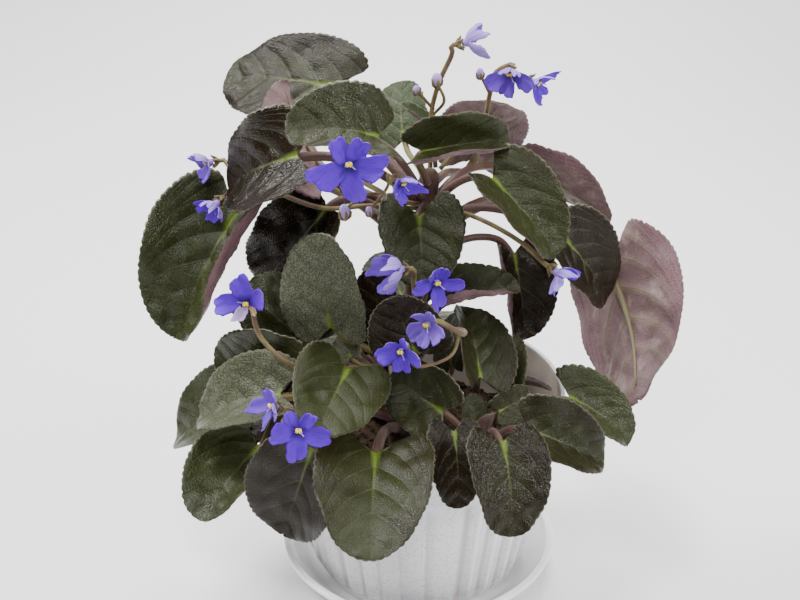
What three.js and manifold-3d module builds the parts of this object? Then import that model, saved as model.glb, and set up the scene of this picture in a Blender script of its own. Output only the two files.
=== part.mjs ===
// A potted african violet: an old plant on a bare leaning stem, with an upper crown, a lower crown
// and a young side shoot, in a fluted pot that stands in a saucer. Millimetres, +Z up. The origin is
// the middle of the saucer's flat underside, and the plant's best side looks towards -Y.
import * as THREE from "three";
import { mergeVertices } from "three/addons/utils/BufferGeometryUtils.js";
import Module from "manifold-3d";

const wasm = await Module();
wasm.setup();

// ---- driving dimensions ----
const gap = 0.3; // clear space between two pieces that rest on each other
const saucerRim = { radius: 63, height: 15 };
const saucerFloor = 3;
const potBottom = saucerFloor + gap;
const potRim = { radius: 65, height: 93 };
const potFoot = 46; // outer radius of the pot where it stands
const potWall = 2.4;
const collar = { bottom: 73, step: 1.6 }; // the smooth band below the rim
const flutes = { count: 28, depth: 0.45 };
const potFloor = potBottom + 3;
const drainHole = { count: 5, radius: 2.5, ring: 26 };
const soilTop = 62;
const stemHole = 38; // how deep the stems reach into the soil
const bladeThickness = 1.2;
const petalThickness = 0.8;
const stalkPerLength = 0.042; // leafstalk radius for each millimetre of blade
const calyxLength = 2.4;
const sliver = 0.03; // edges shorter than this are merged where bodies are fused

// ---- small helpers ----
const vector = (x, y, z) => new THREE.Vector3(x, y, z);
const radians = THREE.MathUtils.degToRad;
const paint = (color, roughness, metalness = 0) =>
  new THREE.MeshStandardMaterial({ color, roughness, metalness });

function solid(geometry) {
  const plain = geometry.clone();
  plain.deleteAttribute("normal");
  plain.deleteAttribute("uv");
  const merged = mergeVertices(plain, 1e-4);
  return new wasm.Manifold(
    new wasm.Mesh({
      numProp: 3,
      vertProperties: new Float32Array(merged.attributes.position.array),
      triVerts: new Uint32Array(merged.index.array),
    }),
  );
}

// The geometries fused into one body.
function fused(geometries) {
  const all = geometries.map(solid).reduce((sum, next) => sum.add(next));
  return geometryOf(all.asOriginal().simplify(sliver));
}

function geometryOf(manifold) {
  const mesh = manifold.getMesh();
  const geometry = new THREE.BufferGeometry();
  geometry.setAttribute("position", new THREE.BufferAttribute(mesh.vertProperties, 3));
  geometry.setIndex(new THREE.BufferAttribute(mesh.triVerts, 1));
  geometry.computeVertexNormals();
  return geometry;
}

// A turned piece: the profile runs up the outside and down the inside.
function turned(profile, segments) {
  const points = profile.map(([radius, height]) => new THREE.Vector2(radius, height));
  return new THREE.LatheGeometry(points, segments).rotateX(Math.PI / 2);
}

// A round tube along a curve, with the radius given as a function of the way along it.
function tube(curve, radiusAt, steps, sides) {
  const corners = Array.from({ length: sides }, (_, i) => {
    const angle = (i / sides) * 2 * Math.PI;
    return new THREE.Vector2(Math.cos(angle), Math.sin(angle));
  });
  const geometry = new THREE.ExtrudeGeometry(new THREE.Shape(corners), {
    steps,
    bevelEnabled: false,
    extrudePath: curve,
  });
  const rings = curve.getSpacedPoints(steps);
  const position = geometry.attributes.position;
  const corner = new THREE.Vector3();
  for (let i = 0; i < position.count; i++) {
    corner.fromBufferAttribute(position, i);
    let ring = 0;
    let nearest = Infinity;
    rings.forEach((centre, k) => {
      const off = Math.abs(centre.distanceTo(corner) - 1);
      if (off < nearest) [ring, nearest] = [k, off];
    });
    corner.sub(rings[ring]).multiplyScalar(radiusAt(ring / steps)).add(rings[ring]);
    position.setXYZ(i, corner.x, corner.y, corner.z);
  }
  return geometry;
}

// A thin closed sheet whose two faces are split alike. Rows run from its base to its tip, and
// each row fans out from the middle line to the margin. surface(u, v) gives a point of its middle
// layer, and margin(row) gives the (u, v) of the margin at that row's end.
function sheet(surface, margin, rows, columns, thickness) {
  const positions = [];
  const faces = [];
  const span = 2 * columns + 1;
  const step = 0.01;
  const place = (row, column) => {
    const along = (1 - Math.cos((Math.PI * row) / rows)) / 2;
    const edge = margin(row);
    const out = (column - columns) / columns;
    const u = along + (edge.u - along) * Math.abs(out);
    return { u, v: edge.v * out };
  };
  for (const side of [1, -1]) {
    for (let row = 0; row <= rows; row++) {
      for (let column = 0; column < span; column++) {
        const { u, v } = place(row, column);
        const point = surface(u, v);
        const forward = surface(u + step, v).sub(surface(u - step, v));
        const across = surface(u, v + step).sub(surface(u, v - step));
        const normal = forward.cross(across).normalize();
        point.addScaledVector(normal, (side * thickness) / 2);
        positions.push(point.x, point.y, point.z);
      }
    }
  }
  const pointed = (row) => row === 0 || row === rows;
  const index = (side, row, column) =>
    side * (rows + 1) * span + row * span + (pointed(row) ? columns : column);
  const quad = (a, b, c, d) => {
    if (a !== b && b !== c && a !== c) faces.push(a, b, c);
    if (a !== c && c !== d && a !== d) faces.push(a, c, d);
  };
  for (let row = 0; row < rows; row++) {
    for (let column = 0; column < span - 1; column++) {
      const corners = (side) => [
        index(side, row, column),
        index(side, row + 1, column),
        index(side, row + 1, column + 1),
        index(side, row, column + 1),
      ];
      const [a, b, c, d] = corners(0);
      quad(a, b, c, d);
      const [e, f, g, h] = corners(1);
      quad(e, h, g, f);
    }
    const [right, left] = [0, span - 1];
    quad(index(0, row, right), index(1, row, right), index(1, row + 1, right), index(0, row + 1, right));
    quad(index(0, row, left), index(0, row + 1, left), index(1, row + 1, left), index(1, row, left));
  }
  const geometry = new THREE.BufferGeometry();
  geometry.setAttribute("position", new THREE.Float32BufferAttribute(positions, 3));
  geometry.setIndex(faces);
  return geometry;
}

// ---- saucer, pot and soil ----
function saucerGeometry() {
  const { radius, height } = saucerRim;
  return turned(
    [
      [0, 0],
      [46, 0],
      [50, 1.2],
      [radius - 1.5, height - 3],
      [radius, height - 1.6],
      [radius - 0.6, height],
      [radius - 3.4, height],
      [radius - 4.6, height - 2.6],
      [48.5, saucerFloor],
      [0, saucerFloor],
    ],
    40,
  );
}

const outerWall = (z) => THREE.MathUtils.mapLinear(z, 20, collar.bottom, 51.5, 61.6);
const innerWall = (z) => outerWall(z) - potWall;

function potGeometry() {
  const { radius, height } = potRim;
  const segments = 2 * flutes.count;
  const geometry = turned(
    [
      [0, potBottom],
      [potFoot - 1.5, potBottom],
      [potFoot, potBottom + 1.5],
      [outerWall(14), 14],
      [outerWall(collar.bottom - 1), collar.bottom - 1],
      [outerWall(collar.bottom) + collar.step, collar.bottom + 1],
      [radius - 0.4, height - 1.5],
      [radius - 1, height],
      [radius - 2.6, height],
      [innerWall(collar.bottom), collar.bottom],
      [innerWall(14), 14],
      [potFoot - 4, potFloor],
      [0, potFloor],
    ],
    segments,
  );
  // The flutes: every second line of the outer wall lies in, by an amount that varies round the pot.
  const position = geometry.attributes.position;
  for (let i = 0; i < position.count; i++) {
    const point = vector(position.getX(i), position.getY(i), position.getZ(i));
    const radiusHere = Math.hypot(point.x, point.y);
    const onFlutes = point.z > 10 && point.z < collar.bottom && radiusHere > outerWall(point.z) - 0.2;
    if (!onFlutes) continue;
    const angle = Math.atan2(point.y, point.x);
    const line = Math.round((angle / (2 * Math.PI)) * segments);
    const uneven = 1 + 0.45 * Math.sin(5 * angle + 1) + 0.3 * Math.sin(11 * angle);
    const inward = line % 2 ? flutes.depth * uneven : -0.2 * flutes.depth;
    const scale = 1 - inward / radiusHere;
    position.setXYZ(i, point.x * scale, point.y * scale, point.z);
  }
  let pot = solid(geometry);
  for (let i = 0; i < drainHole.count; i++) {
    const angle = (i / drainHole.count) * 2 * Math.PI;
    const drill = new THREE.CylinderGeometry(drainHole.radius, drainHole.radius, 12, 12);
    drill.rotateX(Math.PI / 2);
    drill.translate(drainHole.ring * Math.cos(angle), drainHole.ring * Math.sin(angle), potFloor);
    pot = pot.subtract(solid(drill));
  }
  return geometryOf(pot);
}

// The stems' feet: where they stand in the soil, and how thick they are there.
const mainFoot = { x: -8, y: -3, radius: 6 };
const shootFoot = { x: 27, y: -25, radius: 3.2 };

function soilGeometry() {
  const rings = [
    [0, potFloor + gap],
    [potFoot - 4.8, potFloor + gap],
    [innerWall(14) - 0.5, 14],
    [innerWall(soilTop) - 0.5, soilTop],
  ];
  for (const share of [0.75, 0.5, 0.25, 0]) {
    rings.push([share * innerWall(soilTop), soilTop]);
  }
  const geometry = turned(rings, 24);
  const position = geometry.attributes.position;
  for (let i = 0; i < position.count; i++) {
    const [x, y, z] = [position.getX(i), position.getY(i), position.getZ(i)];
    if (z < soilTop - 1) continue;
    const crumbs = 1.1 * Math.sin(0.23 * x + 1) * Math.cos(0.19 * y) + 0.7 * Math.sin(0.5 * x - 0.4 * y);
    position.setZ(i, z + crumbs);
  }
  let soil = solid(geometry);
  for (const foot of [mainFoot, shootFoot]) {
    const depth = 40;
    const hole = new THREE.CylinderGeometry(foot.radius + gap, foot.radius + gap, depth, 16);
    hole.rotateX(Math.PI / 2).translate(foot.x, foot.y, stemHole - gap + depth / 2);
    soil = soil.subtract(solid(hole));
  }
  return geometryOf(soil);
}

// ---- stems ----
const mainPath = new THREE.CatmullRomCurve3([
  vector(mainFoot.x, mainFoot.y, stemHole),
  vector(mainFoot.x, mainFoot.y, 66),
  vector(-8, -4, 88),
  vector(-5, -3, 115),
  vector(-2, -2, 140),
  vector(1, -1, 168),
  vector(4, 0, 198),
]);
const shootPath = new THREE.CatmullRomCurve3([
  vector(shootFoot.x, shootFoot.y, stemHole),
  vector(shootFoot.x, shootFoot.y, 66),
  vector(28, -27, 80),
  vector(29, -30, 94),
]);
// The old stem is thickest at its foot and has low rings where leaves have dropped off.
const mainRadius = (way) =>
  mainFoot.radius - 1.6 * way * way + 1.2 * Math.sin(40 * way) * way * (1 - way);
const shootRadius = (way) => shootFoot.radius - 0.8 * way;
const main = { path: mainPath, radiusAt: mainRadius };
const shoot = { path: shootPath, radiusAt: shootRadius };

// The stem's middle and thickness at a height.
function stemAt(stem, height) {
  let [low, high] = [0, 1];
  for (let i = 0; i < 30; i++) {
    const middle = (low + high) / 2;
    if (stem.path.getPointAt(middle).z < height) low = middle;
    else high = middle;
  }
  return { middle: stem.path.getPointAt(low), radius: stem.radiusAt(low) };
}

// ---- leaves ----
// The blade's own directions: along its chord, to its left, and out of its upper face.
function bladeFrame({ heading, tilt, roll }) {
  const [h, t, r] = [radians(heading), radians(tilt), radians(roll)];
  const along = vector(Math.cos(t) * Math.cos(h), Math.cos(t) * Math.sin(h), Math.sin(t));
  const level = vector(-Math.sin(h), Math.cos(h), 0);
  const over = along.clone().cross(level);
  const left = level.clone().multiplyScalar(Math.cos(r)).addScaledVector(over, Math.sin(r));
  const up = over.clone().multiplyScalar(Math.cos(r)).addScaledVector(level, -Math.sin(r));
  return { along, left, up };
}

// A point of the blade: u runs from the leafstalk (0) to the tip (1), v from the right margin (-1)
// to the left (1). The midrib is an arc, the halves curve up by cup and fold up along the midrib.
function bladeSurface(leaf) {
  const { along, left, up } = bladeFrame(leaf);
  const arch = radians(leaf.arch || 1);
  const cup = radians(leaf.cup || 1);
  const fold = radians(leaf.fold);
  const half = leaf.width / 2;
  const bend = leaf.length / arch;
  return (u, v) => {
    const slope = arch / 2 - arch * u;
    const across = (half / cup) * Math.sin(cup * v);
    const rim = (half / cup) * (1 - Math.cos(cup * v));
    const crease = Math.sqrt(across * across + 0.04 * half * half) - 0.2 * half;
    const rise = rim + crease * Math.sin(fold);
    const forward = bend * (Math.sin(arch / 2) - Math.sin(slope)) - Math.sin(slope) * rise;
    const height = bend * (Math.cos(slope) - Math.cos(arch / 2)) + Math.cos(slope) * rise;
    return leaf.base
      .clone()
      .addScaledVector(along, forward)
      .addScaledVector(left, across * Math.cos(fold))
      .addScaledVector(up, height);
  };
}

// The heart-shaped outline with a scalloped margin. lobe is how far the two base lobes reach back.
function leafMargin(lobe, rows) {
  const scallop = 0.03;
  const widest = 0.98;
  return (row) => {
    const turn = (Math.PI * row) / rows;
    const notch = lobe * Math.exp(-((turn / 0.38) ** 2));
    const u = (1 - lobe) / 2 - ((1 + lobe) / 2) * Math.cos(turn) + notch;
    const v = (Math.sin(turn) ** 0.8 * (1 + 0.17 * Math.cos(turn))) / widest;
    const swell = row % 2 ? 1 + scallop : 1 - scallop;
    return { u: 0.5 + (u - 0.5) * (row === 0 || row === rows ? 1 : swell), v: v * swell };
  };
}

// The leafstalk leaves the stem at leaf.height, climbs at leaf.rise degrees, arches to the blade and
// runs on under it as the raised midrib.
function leafStalk(leaf, stem, joined) {
  const surface = bladeSurface(leaf);
  const { up } = bladeFrame(leaf);
  const radius = Math.max(1, stalkPerLength * leaf.length);
  const { middle, radius: stemRadius } = stemAt(stem, leaf.height);
  const level = leaf.base.clone().sub(middle).setZ(0).normalize();
  level.applyAxisAngle(vector(0, 0, 1), radians(leaf.turn || 0));
  const rise = radians(leaf.rise ?? 35);
  const out = level.clone().multiplyScalar(Math.cos(rise)).setZ(Math.sin(rise));
  const clear = joined ? -stemRadius : gap + 0.75 * radius * Math.sin(rise);
  const start = middle.clone().addScaledVector(level, stemRadius + clear);
  const arrival = surface(0.02, 0).sub(surface(0, 0)).normalize();
  const reach = start.distanceTo(leaf.base);
  const sunk = (u, share) => surface(u, 0).addScaledVector(up, -share * radius);
  const end = sunk(0.03, 0.4);
  const lifted = start.clone().addScaledVector(out, (leaf.pull ?? 0.4) * reach);
  const entry = end.clone().addScaledVector(arrival, -(leaf.lead ?? 0.3) * reach);
  const points = [start];
  if (leaf.via) points.push(...leaf.via.map((point) => vector(...point)), end);
  else {
    const free = new THREE.CubicBezierCurve3(start, lifted, entry, end);
    points.push(...[0.25, 0.5, 0.75, 1].map((t) => free.getPoint(t)));
  }
  points.push(sunk(0.16, 0.2));
  const curve = new THREE.CatmullRomCurve3(points, false, "centripetal");
  const freeShare = reach / (reach + 0.16 * leaf.length);
  const thickness = (way) => {
    const past = Math.max(0, (way - freeShare) / (1 - freeShare));
    return radius * (1 - 0.4 * past);
  };
  return tube(curve, thickness, joined ? 4 : 6, 4);
}

function leafGeometries(leaf, stem, joined = false) {
  const { length } = leaf;
  const rows = length > 50 ? 10 : length > 26 ? 8 : 6;
  const columns = length > 36 ? 2 : 1;
  const margin = leafMargin(leaf.lobe ?? 0.18, rows);
  const blade = sheet(bladeSurface(leaf), margin, rows, columns, bladeThickness);
  const young = leaf.young ? leafGeometries(leaf.young, stem, joined) : [];
  return [blade, leafStalk(leaf, stem, joined), ...young];
}

// A leaf: where its stalk leaves the stem, where its blade starts, the blade's heading round +Z from
// +X, tilt above the level and roll, its length and width, and its arch, cup and fold, in degrees.
const leaf = (height, base, [heading, tilt, roll], [length, width], [arch, cup, fold], more = {}) => ({
  height,
  base: vector(...base),
  heading,
  tilt,
  roll,
  length,
  width,
  arch,
  cup,
  fold,
  ...more,
});

// The upper crown, from the youngest leaves at its middle to the old ones that hang out of it.
const upperLeaves = [
  leaf(194, [0, -12, 211], [19, 0, 52], [38, 33], [30, 15, 53], { rise: 60 }),
  leaf(188, [-17, -24, 222], [-158, 11, -33], [39, 37], [50, 18, 26], { rise: 60 }),
  leaf(191, [-7, 30, 198], [93, 35, -19], [30, 26], [26, 16, 12]),
  leaf(190, [24, 47, 182], [-72, 54, -21], [45, 39], [26, 15, 6], { rise: 10 }),
  leaf(184, [-1, -15, 184], [-84, -58, -4], [29, 36], [20, 20, 14], { lobe: 0.34, rise: 20 }),
  leaf(184, [28, -18, 202], [-25, -44, 19], [40, 37], [19, 21, 26], { rise: 55 }),
  leaf(184, [-49, -11, 209], [142, -33, -58], [48, 44], [38, 15, 26], { rise: 50 }),
  leaf(185, [-36, 56, 212], [155, -5, -39], [57, 47], [29, 12, -2], {
    via: [[-14, 14, 196], [-27, 37, 208]],
  }),
  leaf(183, [48, 46, 177], [-26, -23, -59], [43, 37], [25, 15, 8]),
  leaf(176, [-40, 9, 191], [131, 52, -152], [44, 39], [29, 18, 15]),
  leaf(176, [59, -6, 170], [21, -55, 60], [40, 36], [19, 17, 21]),
  leaf(170, [-40, 24, 169], [156, -53, -82], [55, 47], [-5, 24, 45]),
  leaf(164, [-79, 21, 168], [-138, -53, -13], [60, 59], [21, 21, 34], {
    via: [[-34, 34, 172], [-60, 42, 178], [-74, 31, 179]],
  }),
  leaf(168, [87, 37, 133], [-86, -25, -120], [71, 65], [37, 7, 1], { rise: 45 }),
  leaf(156, [41, 20, 149], [-51, -76, 9], [40, 34], [14, 14, 27]),
];

// The lower crown, from the top down.
const lowerLeaves = [
  leaf(108, [-7, 18, 127], [106, 12, -11], [34, 30], [25, 13, 6], { rise: 55 }),
  leaf(94, [-14, -10, 122], [128, 74, -64], [33, 29], [23, 17, 7], { rise: 50, turn: -75 }),
  leaf(119, [-2, -45, 138], [-135, 68, -136], [33, 34], [32, 20, -13], { rise: 30 }),
  leaf(112, [9, -5, 139], [6, 8, 11], [34, 29], [19, 7, 33], { rise: 50 }),
  leaf(109, [-37, -20, 135], [120, 75, -49], [41, 37], [24, 15, 8], {
    rise: 50,
    turn: 30,
    young: leaf(109, [-29, -21, 121], [107, 16, -25], [15, 12], [23, 17, 16], { rise: 45, turn: 25 }),
  }),
  leaf(98, [-48, -15, 124], [131, 10, -23], [47, 41], [1, 17, 34]),
  leaf(96, [-30, -40, 127], [-105, -6, -22], [43, 39], [5, 8, 12]),
  leaf(92, [-54, -33, 123.5], [150, -10, -68], [39, 32], [16, 18, 19], { rise: 50 }),
  leaf(84, [-57, -45, 118], [160, -27, -31], [43, 37], [33, 16, 23]),
  leaf(78, [-74, 0, 83], [164, -31, -29], [45, 43], [34, 23, 22], {
    via: [[-38, -2, 97], [-62, -1, 98.5]],
  }),
  leaf(76, [-68, -32, 83], [-117, -10, 4], [47, 42], [28, 17, 19], {
    lobe: 0.12,
    via: [[-32, -14, 95], [-57, -26, 99]],
  }),
  leaf(81, [-43, -71, 110], [173, -73, -75], [46, 43], [1, 23, 23], { rise: 40 }),
  leaf(76, [-18, -74, 109], [-92, -15, -1], [52, 47], [22, 13, 13], { rise: 40 }),
];

// The side shoot's own leaves.
const shootLeaves = [
  leaf(88, [25, -26, 114], [101, 28, 24], [36, 32], [22, 19, 30], { via: [[24, -22, 100]] }),
  leaf(86, [9, -49, 112], [129, 1, -49], [34, 29], [21, 15, 11], { rise: 25 }),
  leaf(79, [13, -60, 110], [-85, -56, -22], [31, 26], [23, 16, -6], {
    via: [[21, -46, 90], [15, -58, 104]],
  }),
  leaf(74, [32, -70, 112], [-81, -56, -15], [38, 35], [34, 19, 2], { rise: 30, turn: -10 }),
  leaf(86, [43, -54, 107], [9, -31, 40], [39, 33], [19, 21, 31]),
  leaf(79, [63, -26, 104.5], [-15, -33, 22], [33, 29], [38, 20, 24], { lobe: 0.3 }),
];

// Leaves that are joined to the main stem's own piece: the youngest ones, and those at the back.
const mainYoung = [
  leaf(92, [14, -6, 108], [88, 34, -41], [25, 17], [24, 13, 7]),
  leaf(195, [4, 8, 211], [-172, 46, -13], [18, 11], [25, 13, 29], { rise: 70 }),
  leaf(92, [6, 34, 101], [84, -16, 6], [42, 38], [26, 14, 10], { rise: 40 }),
  leaf(86, [-30, 30, 100], [128, -20, -6], [42, 37], [26, 14, 10], { rise: 40 }),
];

// The tiny leaves in the middle of the side shoot, and three more that stand behind it.
const shootYoung = [
  leaf(92, [33, -32, 101], [40, 4, 54], [19, 16], [23, 18, 16]),
  leaf(93, [23, -34, 95], [100, 55, 10], [14, 13], [20, 20, 14], { rise: 60 }),
  leaf(89, [28, -36, 92], [-60, 78, 0], [12, 11], [10, 40, 20], { rise: 30 }),
  leaf(86, [40, -14, 105], [83, 33, -9], [21, 13], [24, 14, 9], { rise: 50 }),
  leaf(80, [43, -8, 101], [-11, -11, -26], [15, 13], [24, 12, 16], { rise: 40 }),
];

// ---- flowers ----
// A flower facing +Z is one thin waved sheet: a small hub with five petals round it, two small ones
// above and three large ones below. Each petal: its angle, length, width and lift off the level.
const hubRadius = 2.2;
const petalRows = [0.45, 0.8];
const petalSpread = [0.66, 1]; // share of the width at each row: narrow enough to clear the next petal

function petals(size, open) {
  return [
    { angle: -90, length: 1.04 * size, width: 0.86 * size, lift: open - 8 },
    { angle: -14, length: size, width: 0.84 * size, lift: open },
    { angle: 56, length: 0.84 * size, width: 0.62 * size, lift: open + 14 },
    { angle: 124, length: 0.84 * size, width: 0.62 * size, lift: open + 14 },
    { angle: 194, length: size, width: 0.84 * size, lift: open },
  ];
}

function petalPoint({ angle, length, width, lift }, u, v) {
  const [turn, climb] = [radians(angle), radians(lift)];
  const out = vector(Math.cos(turn), Math.sin(turn), 0);
  const side = vector(-Math.sin(turn), Math.cos(turn), 0);
  return out
    .multiplyScalar(length * u * Math.cos(climb * u))
    .addScaledVector(side, (width / 2) * v)
    .setZ(length * u * Math.sin(climb * u) + 0.12 * width * v * v);
}

function corolla(size, open) {
  const rows = petals(size, open);
  const positions = [];
  const faces = [];
  const put = (point, normal) => {
    for (const side of [1, -1]) {
      const layer = point.clone().addScaledVector(normal, (side * petalThickness) / 2);
      positions.push(layer.x, layer.y, layer.z);
    }
    return positions.length / 3 - 2;
  };
  const both = (a, b, c) => faces.push(a, b, c, a + 1, c + 1, b + 1);
  const up = vector(0, 0, 1);
  const hub = put(vector(0, 0, 0), up);
  const corners = rows.map(({ angle }, k) => {
    const next = rows[(k + 1) % rows.length].angle + (k + 1 === rows.length ? 360 : 0);
    const turn = radians((angle + next) / 2);
    return put(vector(hubRadius * Math.cos(turn), hubRadius * Math.sin(turn), 0), up);
  });
  rows.forEach((row, k) => {
    const [from, to] = [corners.at(k - 1), corners[k]];
    const climb = radians(row.lift);
    const point = (u, v) => {
      const lean = vector(-Math.cos(radians(row.angle)), -Math.sin(radians(row.angle)), 0);
      const normal = lean.multiplyScalar(Math.sin(2 * climb * u)).setZ(Math.cos(2 * climb * u));
      return put(petalPoint(row, u, v), normal.normalize());
    };
    const [first, second] = petalRows.map((u, i) => [-1, 0, 1].map((v) => point(u, v * petalSpread[i])));
    const tip = point(1, 0);
    both(hub, from, to);
    both(from, first[0], first[1]);
    both(from, first[1], to);
    both(to, first[1], first[2]);
    for (const i of [0, 1]) {
      both(first[i], second[i], second[i + 1]);
      both(first[i], second[i + 1], first[i + 1]);
    }
    both(second[0], tip, second[1]);
    both(second[1], tip, second[2]);
    const rim = [from, first[0], second[0], tip, second[2], first[2], to];
    rim.slice(1).forEach((next, i) => {
      const last = rim[i];
      faces.push(last, last + 1, next + 1, last, next + 1, next);
    });
  });
  const geometry = new THREE.BufferGeometry();
  geometry.setAttribute("position", new THREE.Float32BufferAttribute(positions, 3));
  geometry.setIndex(faces);
  return geometry;
}

// The flower with the short tube behind it and its two anthers.
function flowerGeometries({ size, open }) {
  const throat = new THREE.CylinderGeometry(1.9, 1.3, 2.6, 5).rotateX(Math.PI / 2).translate(0, 0, -1.1);
  const anthers = [-1, 1].map((x) => new THREE.OctahedronGeometry(1.4).translate(x, 0.3, 0.9));
  return [corolla(size, open), throat, ...anthers];
}

const flowerBack = -2.4; // how far behind the petals' roots the tube ends

// A flower: its middle, the heading and tilt that it faces, its turn about that line, and its size.
const flower = (middle, heading, tilt, turn, size, open) => {
  const [h, t] = [radians(heading), radians(tilt)];
  const face = vector(Math.cos(t) * Math.cos(h), Math.cos(t) * Math.sin(h), Math.sin(t));
  const right = vector(-Math.sin(h), Math.cos(h), 0);
  const top = face.clone().cross(right);
  const frame = new THREE.Matrix4().makeBasis(right, top, face);
  frame.multiply(new THREE.Matrix4().makeRotationZ(radians(turn)));
  frame.setPosition(...middle);
  return { frame, size, open };
};

const flowers = {
  flower_tall: flower([18, -2, 253], 10, 10, 20, 11, 30),
  flower_top_left: flower([35, 3, 238], -105, -15, 0, 11.5, 25),
  flower_top_right: flower([46, 3, 234], -35, -10, 30, 10, 20),
  flower_open: flower([-27, -60, 226], -90, 28, 4, 15, 6),
  flower_beside_open: flower([-8, -38, 209], -40, -15, -20, 9.5, 30),
  flower_far_left: flower([-90, 22, 191], -160, -5, 0, 10, 30),
  flower_left: flower([-86, 8, 178], -130, -25, 0, 9.5, 30),
  flower_fading: flower([-70, -38, 157], -100, 10, 0, 13, 20),
  flower_upright: flower([-9, -40, 173], -150, 15, 0, 13, 35),
  flower_middle: flower([6, -41, 167], -70, 5, 0, 11.5, 15),
  flower_front: flower([2, -62, 160], -125, 8, 10, 10.5, 6),
  flower_front_low: flower([-8, -70, 153], -110, 2, 6, 10.5, 14),
  flower_pale: flower([-59, -64, 124], -150, 25, 10, 10.5, 15),
  flower_low: flower([-47, -89, 129], -85, 38, -8, 12.5, 8),
  flower_right: flower([54.5, -34, 168], -20, -30, 0, 11, 30),
};

// ---- flower stalks ----
const strandRadius = { stalk: 1.15, side: 0.7 };

// A strand through its points. One that ends at a flower runs into a small calyx close behind it.
function strand(points, radius, flowerName) {
  const route = points.map((point) => vector(...point));
  const pieces = [];
  if (flowerName) {
    const { frame } = flowers[flowerName];
    const calyxMiddle = flowerBack - gap - calyxLength / 2;
    const calyx = new THREE.CylinderGeometry(2.3, 0.8, calyxLength, 5);
    calyx.rotateX(Math.PI / 2).translate(0, 0, calyxMiddle).applyMatrix4(frame);
    pieces.push(calyx);
    route.push(vector(0, 0, calyxMiddle - 3).applyMatrix4(frame));
    route.push(vector(0, 0, calyxMiddle + 0.3).applyMatrix4(frame));
  }
  const curve = new THREE.CatmullRomCurve3(route, false, "centripetal");
  const steps = Math.max(2, Math.min(9, Math.round(curve.getLength() / 9)));
  pieces.push(tube(curve, () => radius, steps, 4));
  return pieces;
}

// Where a spray leaves the main stem: the height, and the direction round +Z from +X.
function fromStem(height, direction) {
  const { middle, radius } = stemAt(main, height);
  const distance = radius + gap + 0.45 * strandRadius.stalk;
  const turn = radians(direction);
  return [middle.x + distance * Math.cos(turn), middle.y + distance * Math.sin(turn), height];
}

// A closed bud at the end of a strand.
function bud(place, size) {
  return new THREE.IcosahedronGeometry(size, 0).scale(0.8, 0.8, 1.2).translate(...place);
}

// Each spray: one stalk from the stem, side strands that start inside it, and buds.
const { stalk, side } = strandRadius;
const sprays = {
  spray_tall: [
    ...strand([[6, 0, 199.5], [5, 1, 210], [4, 0, 222], [7, -1, 236], [12, -2, 249]], stalk, "flower_tall"),
    ...strand([[5, 0, 222], [9, -3, 229], [6, -4, 237]], side),
    bud([6, -4, 238], 2.4),
    ...strand([[5, 0, 224], [-1, -2, 232]], side),
    bud([-2, -2, 233], 1.8),
  ],
  spray_top: [
    ...strand(
      [[8, 3, 197.5], [16, 10, 203], [26, 14, 214], [28, 12, 226], [30, 10, 236]],
      stalk,
      "flower_top_left",
    ),
    ...strand([[28, 11, 228], [36, 8, 233]], side, "flower_top_right"),
    ...strand([[28, 12, 226], [24, 9, 235]], side),
    bud([23.6, 8.6, 236], 1.9),
  ],
  spray_open: [
    ...strand([fromStem(184, -140), [-14, -14, 191], [-15, -32, 202], [-23, -48, 215]], stalk, "flower_open"),
    ...strand([[-15, -30, 201], [-13, -32, 206]], side, "flower_beside_open"),
    ...strand([[-15, -28, 200], [-22, -33, 202], [-29.5, -35, 197]], side),
    bud([-30, -35, 195.5], 2.6),
    ...strand([[-15, -30, 201], [-20.5, -36.5, 196.6]], side),
    bud([-20.5, -36.5, 196.5], 1.7),
  ],
  spray_middle: [
    ...strand([fromStem(122, -42), [1, -22, 136], [-2, -33, 150], [-3, -36, 164]], stalk, "flower_upright"),
    ...strand([[-2, -32, 150], [2, -36, 160]], side, "flower_middle"),
    ...strand([[1, -20, 134], [16, -34, 142], [15, -54, 152]], stalk, "flower_front"),
    ...strand([[15.6, -46, 149], [11, -60, 145], [-3, -65, 144]], side, "flower_front_low"),
  ],
  spray_low: [
    ...strand([fromStem(90, -122), [-30, -34, 106], [-46, -56, 115]], stalk, "flower_pale"),
    ...strand([[-38, -45, 111], [-47, -74, 118]], side, "flower_low"),
  ],
};

// Stalks that are joined to the main stem's own piece, because they pass through its crowns.
const joinedStalks = [
  ...strand(
    [[3, 0, 180], [-20, -3, 183], [-40, 1, 180], [-60, 12, 182], [-78, 18, 188]],
    stalk,
    "flower_far_left",
  ),
  ...strand([[-66, 15, 184], [-77, 15, 184]], side, "flower_left"),
  ...strand(
    [[-8, -5, 100], [-20, -15, 110], [-34, -28, 119], [-53, -43, 131], [-66, -35, 141]],
    stalk,
    "flower_fading",
  ),
  ...strand([[2, 0, 181], [20, -12, 183], [40, -29, 179]], stalk, "flower_right"),
];

function mainStemGeometry() {
  const bark = tube(mainPath, mainRadius, 14, 8);
  const young = mainYoung.flatMap((row) => leafGeometries(row, main, true));
  return fused([bark, ...young, ...joinedStalks]);
}

function sideShootGeometry() {
  const bark = tube(shootPath, shootRadius, 5, 6);
  return fused([bark, ...shootYoung.flatMap((row) => leafGeometries(row, shoot, true))]);
}

// ---- the whole plant ----
const colours = {
  bronze: paint(0x33302a, 0.42),
  green: paint(0x46513b, 0.5),
  petal: paint(0x5a47d0, 0.6),
  stalk: paint(0x6e5a3a, 0.6),
};

const violet = new THREE.Group();
violet.name = "potted_african_violet";

function add(name, geometry, material) {
  const mesh = new THREE.Mesh(geometry, material);
  mesh.name = name;
  violet.add(mesh);
  return mesh;
}

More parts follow.
